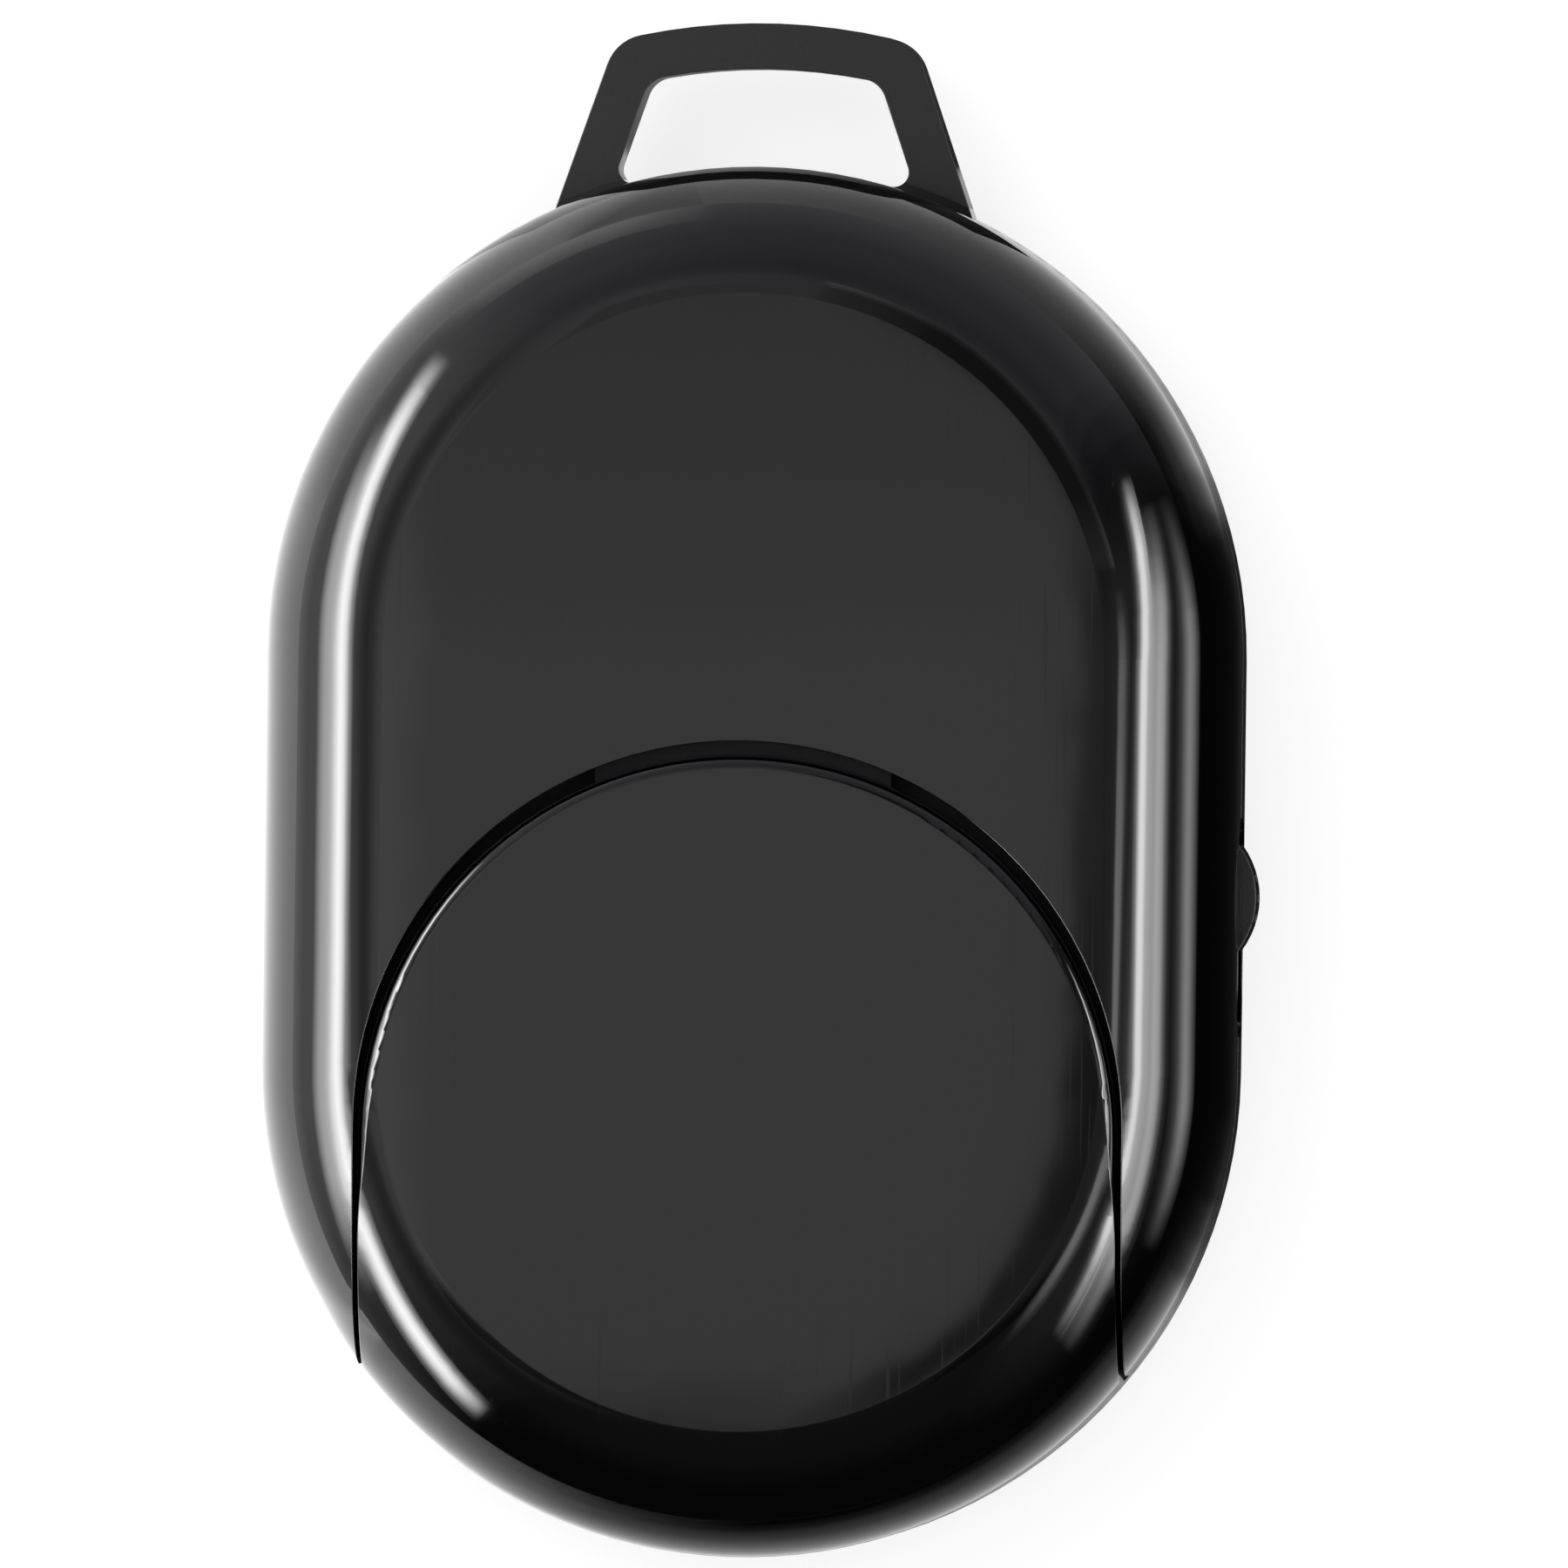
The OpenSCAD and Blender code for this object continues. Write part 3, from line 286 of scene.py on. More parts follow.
def outer_skin(tree, place):
    """Two masks: the housing's outer skin, down to a little below it, and all but the loop.

    The housing is a pebble: half circles at its ends, joined by straight sides, with a large round
    at its back edge and a small one at its front edge.
    """
    x, y, z = add(tree, "ShaderNodeSeparateXYZ", {0: place}).outputs
    half_width = BODY_HI.x
    straight = BODY_HI.y - half_width
    beyond = add(tree, "ShaderNodeMath", {0: y}, operation="ABSOLUTE").outputs[0]
    beyond = add(tree, "ShaderNodeMath", {0: beyond, 1: straight}, operation="SUBTRACT").outputs[0]
    beyond = add(tree, "ShaderNodeMath", {0: beyond, 1: 0.0}, operation="MAXIMUM").outputs[0]
    flat = add(tree, "ShaderNodeCombineXYZ", {"X": x, "Y": beyond}).outputs[0]
    reach = add(tree, "ShaderNodeVectorMath", {0: flat}, operation="LENGTH").outputs["Value"]
    skins = []
    for radius, face, way in ((BACK_ROUND, TOP, 1), (FRONT_ROUND, FACE, -1)):
        out = add(tree, "ShaderNodeMath", {0: reach, 1: half_width - radius}, operation="SUBTRACT")
        out = add(tree, "ShaderNodeMath", {0: out.outputs[0], 1: 0.0}, operation="MAXIMUM").outputs[0]
        up = add(tree, "ShaderNodeMath", {
            0: z, 1: float(way), 2: radius - way * face}, operation="MULTIPLY_ADD").outputs[0]
        up = add(tree, "ShaderNodeMath", {0: up, 1: 0.0}, operation="MAXIMUM").outputs[0]
        corner = add(tree, "ShaderNodeCombineXYZ", {"X": out, "Y": up}).outputs[0]
        from_middle = add(tree, "ShaderNodeVectorMath", {0: corner}, operation="LENGTH").outputs["Value"]
        skins.append(add(tree, "ShaderNodeMath", {
            0: from_middle, 1: radius - SKIN}, operation="GREATER_THAN").outputs[0])
    skin = add(tree, "ShaderNodeMath", {0: skins[0], 1: skins[1]}, operation="MAXIMUM").outputs[0]
    body = add(tree, "ShaderNodeMath", {0: reach, 1: half_width + SKIN}, operation="LESS_THAN").outputs[0]
    return add(tree, "ShaderNodeMath", {0: skin, 1: body}, operation="MULTIPLY").outputs[0], body


def chrome_plate(colour):
    """ABS plated with chrome over nickel: a cool bright mirror with a faint polishing haze."""
    material, tree = new_material("Chrome-plated ABS, polished")
    place = add(tree, "ShaderNodeTexCoord").outputs["Object"]
    haze = add(tree, "ShaderNodeTexNoise", {
        "Vector": place, "Scale": pattern_scale(0.8), "Detail": 3.0})
    rough = add(tree, "ShaderNodeMapRange", {
        "Value": haze.outputs["Fac"], "From Min": 0.35, "From Max": 0.7, "To Min": 0.05, "To Max": 0.11})
    waves = add(tree, "ShaderNodeTexNoise", {"Vector": place, "Scale": pattern_scale(1.5)})
    edges = add(tree, "ShaderNodeBevel", {"Radius": 0.06 * MM}, samples=BEVEL_SAMPLES)
    bump = add(tree, "ShaderNodeBump", {
        "Strength": 1.0, "Distance": 0.004 * MM, "Height": waves.outputs["Fac"],
        "Normal": edges.outputs[0]})
    shader = add(tree, "ShaderNodeBsdfPrincipled", {
        "Base Color": rgba(colour), "Metallic": 1.0, "Roughness": rough.outputs[0],
        "Normal": bump.outputs[0]})
    add(tree, "ShaderNodeOutputMaterial", {"Surface": shader.outputs[0]})
    return material


def clear_polycarbonate(colour):
    """Polycarbonate, moulded clear: a bright bead of glass with a slight haze inside."""
    material, tree = new_material("Polycarbonate, moulded clear")
    place = add(tree, "ShaderNodeTexCoord").outputs["Object"]
    haze = add(tree, "ShaderNodeTexNoise", {"Vector": place, "Scale": pattern_scale(0.6), "Detail": 2.0})
    rough = add(tree, "ShaderNodeMapRange", {
        "Value": haze.outputs["Fac"], "From Min": NOISE_LOW, "From Max": NOISE_HIGH,
        "To Min": 0.02, "To Max": 0.09})
    shader = add(tree, "ShaderNodeBsdfPrincipled", {
        "Base Color": rgba(colour), "Roughness": rough.outputs[0], "IOR": 1.585,
        "Transmission Weight": 1.0})
    add(tree, "ShaderNodeOutputMaterial", {"Surface": shader.outputs[0]})
    return material


def grained_plastic(name, colour, grain_mm, grain_height, rough_low, rough_high, ior, wear=None):
    """A moulding or a fired block with a fine even grain: a soft sheen with no mirror in it.

    A grain that is really finer than 0.05 mm is drawn at that width, so that a close picture shows it.
    wear is the tone of its patches, where that differs.
    """
    material, tree = new_material(name)
    place = add(tree, "ShaderNodeTexCoord").outputs["Object"]
    grain = add(tree, "ShaderNodeTexNoise", {
        "Vector": place, "Scale": pattern_scale(grain_mm), "Detail": 3.0, "Roughness": 0.6})
    # Patches of wear, a dozen grains wide
    patches = add(tree, "ShaderNodeTexNoise", {
        "Vector": place, "Scale": pattern_scale(grain_mm * 12), "Detail": 2.0})
    rough = add(tree, "ShaderNodeMapRange", {
        "Value": patches.outputs["Fac"], "From Min": NOISE_LOW, "From Max": NOISE_HIGH,
        "To Min": rough_low, "To Max": rough_high})
    edges = add(tree, "ShaderNodeBevel", {"Radius": 0.08 * MM}, samples=BEVEL_SAMPLES)
    bump = add(tree, "ShaderNodeBump", {
        "Strength": 1.0, "Distance": grain_height, "Height": grain.outputs["Fac"],
        "Normal": edges.outputs[0]})
    tone = rgba(colour)
    if wear:
        tone = add(tree, "ShaderNodeMix", {
            0: patches.outputs["Fac"], 6: tone, 7: rgba(wear)}, data_type="RGBA").outputs[2]
    shader = add(tree, "ShaderNodeBsdfPrincipled", {
        "Base Color": tone, "Roughness": rough.outputs[0], "IOR": ior,
        "Normal": bump.outputs[0]})
    add(tree, "ShaderNodeOutputMaterial", {"Surface": shader.outputs[0]})
    return material


def plus_sign(tree, place, middle):
    """1 over a plus sign of two bars, with soft edges, and 0 round it."""
    x, y, _ = add(tree, "ShaderNodeSeparateXYZ", {0: place}).outputs
    bars = []
    for half_x, half_y in ((PLUS_ARM, PLUS_BAR), (PLUS_BAR, PLUS_ARM)):
        sides = []
        for socket, centre, half in ((x, middle[0], half_x), (y, middle[1], half_y)):
            off = add(tree, "ShaderNodeMath", {0: socket, 1: centre}, operation="SUBTRACT").outputs[0]
            off = add(tree, "ShaderNodeMath", {0: off}, operation="ABSOLUTE").outputs[0]
            sides.append(add(tree, "ShaderNodeMapRange", {
                "Value": off, "From Min": half - PLUS_BLUR, "From Max": half + PLUS_BLUR,
                "To Min": 1.0, "To Max": 0.0}).outputs[0])
        bars.append(add(tree, "ShaderNodeMath", {
            0: sides[0], 1: sides[1]}, operation="MULTIPLY").outputs[0])
    return add(tree, "ShaderNodeMath", {0: bars[0], 1: bars[1]}, operation="MAXIMUM").outputs[0]


def drawn_metal(name, colour, low, high, line_mm, stretch=(1, 1, 1), *, stain, plus=None):
    """A metal with the fine lines that its making leaves, and patches of another tone and sheen.

    Real lines lie some 0.02 mm apart and are drawn coarser, so that a close picture shows them. plus is
    the middle of a plus sign that a laser has dulled on it.
    """
    material, tree = new_material(name)
    place = add(tree, "ShaderNodeTexCoord").outputs["Object"]
    along = add(tree, "ShaderNodeMapping", {"Vector": place, "Scale": stretch})
    lines = add(tree, "ShaderNodeTexNoise", {
        "Vector": along.outputs[0], "Scale": pattern_scale(line_mm), "Detail": 3.0})
    # Patches as wide as 25 lines
    patches = add(tree, "ShaderNodeTexNoise", {
        "Vector": place, "Scale": pattern_scale(line_mm * 25), "Detail": 3.0})
    rough = add(tree, "ShaderNodeMapRange", {
        "Value": patches.outputs["Fac"], "From Min": NOISE_LOW, "From Max": NOISE_HIGH,
        "To Min": low, "To Max": high})
    edges = add(tree, "ShaderNodeBevel", {"Radius": 0.05 * MM}, samples=BEVEL_SAMPLES)
    bump = add(tree, "ShaderNodeBump", {
        "Strength": 1.0, "Distance": 0.002 * MM, "Height": lines.outputs["Fac"],
        "Normal": edges.outputs[0]})
    tone = add(tree, "ShaderNodeMix", {
        0: patches.outputs["Fac"], 6: rgba(colour), 7: rgba(stain)}, data_type="RGBA")
    if plus:
        sign = plus_sign(tree, place, plus)
        rough = add(tree, "ShaderNodeMath", {
            0: sign, 1: 0.3, 2: rough.outputs[0]}, operation="MULTIPLY_ADD")
        tone = add(tree, "ShaderNodeMix", {
            0: sign, 6: tone.outputs[2], 7: rgba("#6E6E6B")}, data_type="RGBA")
    shader = add(tree, "ShaderNodeBsdfPrincipled", {
        "Base Color": tone.outputs[2], "Metallic": 1.0, "Roughness": rough.outputs[0],
        "Normal": bump.outputs[0]})
    add(tree, "ShaderNodeOutputMaterial", {"Surface": shader.outputs[0]})
    return material


def board_laminate(mask_colour, thread):
    """Glass-epoxy laminate under a green solder mask.

    The weave of the glass shows as a faint checker in a glossy green lacquer, with lighter lines
    where copper tracks run under it.
    """
    material, tree = new_material("Glass-epoxy laminate, green solder mask")
    place = add(tree, "ShaderNodeTexCoord").outputs["Object"]
    # At scale 1 a wave texture has 20 radians to the metre
    threads = []
    for axis in ("X", "Y"):
        threads.append(add(tree, "ShaderNodeTexWave", {
            "Vector": place, "Scale": math.tau / 20 / thread}, bands_direction=axis))
    weave = add(tree, "ShaderNodeMath", {
        0: threads[0].outputs["Fac"], 1: threads[1].outputs["Fac"]}, operation="MULTIPLY")
    # Tracks: the edges of irregular cells some 2.6 mm wide
    cells = add(tree, "ShaderNodeTexVoronoi", {
        "Vector": place, "Scale": pattern_scale(2.6), "Randomness": 0.9},
        feature="DISTANCE_TO_EDGE")
    track = add(tree, "ShaderNodeMapRange", {
        "Value": cells.outputs["Distance"], "From Min": 0.05, "From Max": 0.08,
        "To Min": 1.0, "To Max": 0.0})
    base = add(tree, "ShaderNodeMix", {
        0: weave.outputs[0], 6: rgba(mask_colour), 7: rgba(tuple(1.25 * c for c in mask_colour))},
        data_type="RGBA")
    tone = add(tree, "ShaderNodeMix", {
        0: track.outputs[0], 6: base.outputs[2], 7: rgba(tuple(1.9 * c for c in mask_colour))},
        data_type="RGBA")
    bump = add(tree, "ShaderNodeBump", {
        "Strength": 1.0, "Distance": 0.02 * MM, "Height": track.outputs[0]})
    shader = add(tree, "ShaderNodeBsdfPrincipled", {
        "Base Color": tone.outputs[2], "Roughness": 0.28, "IOR": 1.55, "Normal": bump.outputs[0]})
    add(tree, "ShaderNodeOutputMaterial", {"Surface": shader.outputs[0]})
    return material


class REMOTE_OT_finish_shells(bpy.types.Operator):
    """Gives both shells and the battery cover their polished plastic"""
    bl_idname = "remote.finish_shells"
    bl_label = "Shells and cover"

    def execute(self, context):
        look = context.scene.remote_housing
        # A deep black mirror, as the photograph shows
        gloss = polished_abs("ABS, moulded in a polished tool", look.colour, look.roughness,
                             look.ripple, look.edge_round, look.dull_roughness)
        dress(gloss, "front_shell", "back_shell", "battery_cover")
        return {"FINISHED"}


class REMOTE_OT_finish_buttons(bpy.types.Operator):
    """Gives the two caps their polished plastic"""
    bl_idname = "remote.finish_buttons"
    bl_label = "Buttons"

    def execute(self, context):
        look = context.scene.remote_housing
        # The same black, for the two caps
        caps = polished_abs("ABS, moulded caps", look.colour, look.roughness, look.ripple,
                            look.edge_round, look.dull_roughness)
        dress(caps, "shutter_button", "second_button")
        return {"FINISHED"}


class REMOTE_OT_finish_trim(bpy.types.Operator):
    """Plates the rings, clears the light pipe and grains the knob"""
    bl_idname = "remote.finish_trim"
    bl_label = "Rings, light pipe and knob"

    def execute(self, context):
        look = context.scene.remote_trim
        # Two bright rings that frame the black caps
        dress(chrome_plate(look.chrome), "shutter_ring", "second_ring")
        # A clear bead that shows the light behind it
        dress(clear_polycarbonate(look.lens), "indicator_lens")
        # A satin black that stays dull beside the polished shell
        knob = grained_plastic("ABS, moulded in a spark-eroded tool", look.knob, look.knob_grain / MM,
                               0.01 * MM, 0.28, 0.4, 1.42)
        dress(knob, "power_knob")
        return {"FINISHED"}


class REMOTE_OT_finish_board(bpy.types.Operator):
    """Finishes the board, its printed antenna and its screws"""
    bl_idname = "remote.finish_board"
    bl_label = "Board"

    def execute(self, context):
        look = context.scene.remote_inside
        # A glossy green with a faint weave
        dress(board_laminate(tuple(look.mask), look.thread), "circuit_board")
        # A thin yellow trace on the green lacquer
        dress(drawn_metal("Copper, etched and gold-flashed", look.gold, 0.25, 0.4, 0.05,
                          stain="#B98A48"), "antenna_trace")
        # Bluish grey screw heads with a clouded shine
        dress(drawn_metal("Zinc-plated steel, cold headed", "#B9BCC0", 0.22, 0.38, 0.04,
                          stain="#9A9C96"), "board_screws")
        return {"FINISHED"}


class REMOTE_OT_finish_switches(bpy.types.Operator):
    """Finishes the slide switch, the two push switches and the indicator light"""
    bl_idname = "remote.finish_switches"
    bl_label = "Switches"

    def execute(self, context):
        look = context.scene.remote_inside
        # Dry black bodies, greyer where the glass lies open
        dress(grained_plastic("Glass-filled nylon, moulded black", "#141416", 0.06, 0.004 * MM, 0.45, 0.6,
                              1.53, "#1B1B1D"), "slide_switch_base", "shutter_switch_base",
              "second_switch_base")
        # Milky white levers and stems with a waxy sheen, and the indicator light's diffuser
        dress(grained_plastic("Acetal, moulded natural white", "#DEDDD2", 0.2, 0.002 * MM, 0.3, 0.42,
                              1.48, "#E9E8E0"), "slide_switch_lever", "shutter_switch_stem",
              "second_switch_stem", "indicator_led")
        # Cool grey frames and legs with rolling lines
        dress(drawn_metal("Tinned steel, stamped", look.tin, 0.2, 0.36, 0.05, (1, 0.05, 1),
                          stain="#A9ABAD"), "slide_switch_frame", "slide_switch_legs",
              "shutter_switch_plate", "second_switch_plate", "push_switch_legs")
        # Small bright domes
        dress(drawn_metal("Stainless spring steel, pressed", "#BDBEBE", 0.14, 0.24, 0.08,
                          stain="#A7A8A8"), "shutter_switch_dome", "second_switch_dome")
        return {"FINISHED"}


class REMOTE_OT_finish_cell(bpy.types.Operator):
    """Finishes the coin cell and its two contacts"""
    bl_idname = "remote.finish_cell"
    bl_label = "Coin cell"

    def execute(self, context):
        look = context.scene.remote_inside
        # Bright warm steel with drawing lines along one way, and a thumb's dull patches
        dress(drawn_metal("Nickel-plated steel, deep drawn", look.steel, 0.18, 0.24, 0.06, (1, 0.04, 1),
                          stain="#C6C5C1"), "cell_cap")
        # The same, with its polarity marked in dull grey on the can's base, which faces the cover
        middle = (CELL_LO + CELL_HI) / 2
        dress(drawn_metal("Nickel-plated steel, deep drawn and laser-marked", look.steel, 0.2, 0.26, 0.06,
                          (1, 0.04, 1), stain="#C6C5C1", plus=(middle.x, middle.y + PLUS_OFFSET)),
              "cell_can")
        # A dull grey line between can and cap
        dress(grained_plastic("Polypropylene, moulded gasket", "#2A2D2E", 0.1, 0.002 * MM, 0.4, 0.5, 1.49),
              "cell_gasket")
        # Springs with a soft yellow shine and faint rolling lines
        dress(drawn_metal("Phosphor bronze, stamped and gold-flashed", look.gold, 0.2, 0.34, 0.06,
                          (0.05, 1, 1), stain="#C39A55"), "negative_contact", "positive_contact")
        return {"FINISHED"}


class REMOTE_OT_finish_chips(bpy.types.Operator):
    """Finishes the chips, the crystal and the small parts of the board"""
    bl_idname = "remote.finish_chips"
    bl_label = "Chips and small parts"

    def execute(self, context):
        look = context.scene.remote_inside
        # Matt grey-black blocks
        dress(grained_plastic("Epoxy, transfer moulded", "#1A1A1C", 0.05, 0.004 * MM, 0.5, 0.68, 1.54,
                              "#202022"), "radio_chip", "memory_chip")
        # Dark chips under a thin glaze
        dress(grained_plastic("Alumina, glazed and fired", "#26282B", 0.05, 0.002 * MM, 0.3, 0.45, 1.6,
                              "#2E3033"), "resistors")
        # Tan blocks with the fine bite of a ceramic
        dress(grained_plastic("Barium titanate, fired", "#A98E66", 0.06, 0.003 * MM, 0.4, 0.55, 1.7,
                              "#9A7F58"), "capacitors")
        # Grey legs, duller at their bends
        dress(drawn_metal("Tinned copper, formed", look.tin, 0.24, 0.4, 0.05, stain="#A9ABAD"),
              "memory_chip_legs")
        # A warm silver lid with a satin shine
        dress(drawn_metal("Nickel silver, pressed", "#C8C7C2", 0.16, 0.28, 0.08, (0.05, 1, 1),
                          stain="#B4B3AE"), "crystal_can")
        return {"FINISHED"}


# Stage

def sheet_of(name, rows, material):
    """A stage sheet through rows of points, with its pattern laid from 0 to 1 along and across it."""
    count = len(rows[0])
    faces = []
    for i in range(len(rows) - 1):
        for j in range(count - 1):
            near, far = i * count + j, (i + 1) * count + j
            faces.append((near, near + 1, far + 1, far))
    mesh = bpy.data.meshes.new(name)
    mesh.from_pydata([tuple(point) for row in rows for point in row], [], faces)
    uv = mesh.uv_layers.new(name="UVMap")
    for loop in mesh.loops:
        i, j = divmod(loop.vertex_index, count)
        uv.data[loop.index].uv = (j / (count - 1), i / (len(rows) - 1))
    mesh.materials.append(material)
    sheet = bpy.data.objects.new(name, mesh)
    bpy.context.scene.collection.objects.link(sheet)
    return sheet


def seen_sharply(tree):
    """1 for the camera and for what polished and clear surfaces show, 0 for the light on dull ones."""
    rays = add(tree, "ShaderNodeLightPath").outputs
    seen = rays["Is Camera Ray"]
    for kind in ("Is Glossy Ray", "Is Transmission Ray"):
        seen = add(tree, "ShaderNodeMath", {0: seen, 1: rays[kind]}, operation="MAXIMUM").outputs[0]
    return seen


def only_in_gloss(card):
    """Polished surfaces show this card; the camera and dull surfaces don't see it."""
    card.visible_camera = False
    card.visible_diffuse = False
    card.visible_shadow = False
    card.visible_transmission = False
    card.visible_volume_scatter = False


def shares(pairs):
    """(place, level) pairs with their places as shares of the way from the first to the last."""
    first, last = pairs[0][0], pairs[-1][0]
    return [((place - first) / (last - first), level) for place, level in pairs]


def profile(tree, along, levels):
    """Brightness along one way of a cloth, from (share, level) pairs."""
    brightest = max(level for _, level in levels)
    ramp = add(tree, "ShaderNodeValToRGB", {0: along})
    points = ramp.color_ramp.elements
    for i, (share, level) in enumerate(levels):
        # A new ramp has two points already
        point = points[i] if i < 2 else points.new(share)
        grey = level / brightest
        point.position = share
        point.color = (grey, grey, grey, 1)
    return add(tree, "ShaderNodeMath", {
        0: ramp.outputs["Color"], 1: brightest}, operation="MULTIPLY").outputs[0]


def lit_cloth(name, down, across, tint, sheer):
    """The face of a softbox, a scrim or a flag: levels down it, and across it how much of them shows.

    A sheer cloth lets what lies behind it through where less of it shows.
    """
    material, tree = new_material(name)
    coords = add(tree, "ShaderNodeTexCoord").outputs["UV"]
    u, v, _ = add(tree, "ShaderNodeSeparateXYZ", {0: coords}).outputs
    level, share = profile(tree, v, shares(down)), profile(tree, u, shares(across))
    if not sheer:
        level = add(tree, "ShaderNodeMath", {0: level, 1: share}, operation="MULTIPLY").outputs[0]
    face = add(tree, "ShaderNodeEmission", {"Color": rgba(tint), "Strength": level})
    if sheer:
        clear = add(tree, "ShaderNodeBsdfTransparent")
        face = add(tree, "ShaderNodeMixShader", {0: share, 1: clear.outputs[0], 2: face.outputs[0]})
    add(tree, "ShaderNodeOutputMaterial", {"Surface": face.outputs[0]})
    return material


def studio_card(name, distance, down, across, sheer=True, bow=0, highest=180, tint="#FFFFFF"):
    """A card that only polished surfaces show, bent round the remote.

    down holds its levels by tilt off the zenith, across its shares of them by side, both in degrees.
    Side 0 is the knob's, along +X, and side 90 is the loop's. bow is how much lower the card hangs 45
    degrees away from the side where it hangs highest.
    """
    top, foot = math.radians(down[0][0]), math.radians(down[-1][0])
    half = (foot - top) / 2
    first, last = across[0][0], across[-1][0]
    rows = ([], [])
    for i in range(CARD_STEPS + 1):
        side = first + (last - first) * i / CARD_STEPS
        drop = math.radians(bow) * ((side - highest) / 45) ** 2
        turn = math.radians(side)
        for row, tilt in zip(rows, (top + drop, foot + drop)):
            row.append(distance * Vector((
                math.sin(tilt) * math.cos(turn), math.sin(tilt) * math.sin(turn), math.cos(tilt))))
    # The card is straight from its upper to its lower edge
    places = [(math.tan(math.radians(tilt) - top - half), level) for tilt, level in down]
    only_in_gloss(sheet_of(name, rows, lit_cloth(name.replace("_", " "), places, across, tint, sheer)))


def flat_card(name, rows, down, across, sheer=False):
    """A level card that only polished surfaces show, through rows of points in millimetres."""
    cloth = lit_cloth(name.replace("_", " "), down, across, "#FFFFFF", sheer)
    only_in_gloss(sheet_of(name, [[Vector(point) * MM for point in row] for row in rows], cloth))


def ring(reaches, points, height, shift=0):
    """Rows of points, in millimetres, at some reaches from the middles of arcs.

    points holds, for each point of a row, its arc's middle along Y and its side in degrees. All the
    middles lie at shift along X.
    """
    rows = []
    for reach in reaches:
        row = []
        for middle, side in points:
            turn = math.radians(side)
            row.append((shift + reach * math.cos(turn), middle + reach * math.sin(turn), height))
        rows.append(row)
    return rows


def table_card(name, height, points, down, across):
    """A sheer card on the table, round the body's end arcs, with its levels by reach from their middles."""
    levels = [(i, level) for i, (_, level) in enumerate(down)]
    flat_card(name, ring([reach for reach, _ in down], points, height), levels, across, True)


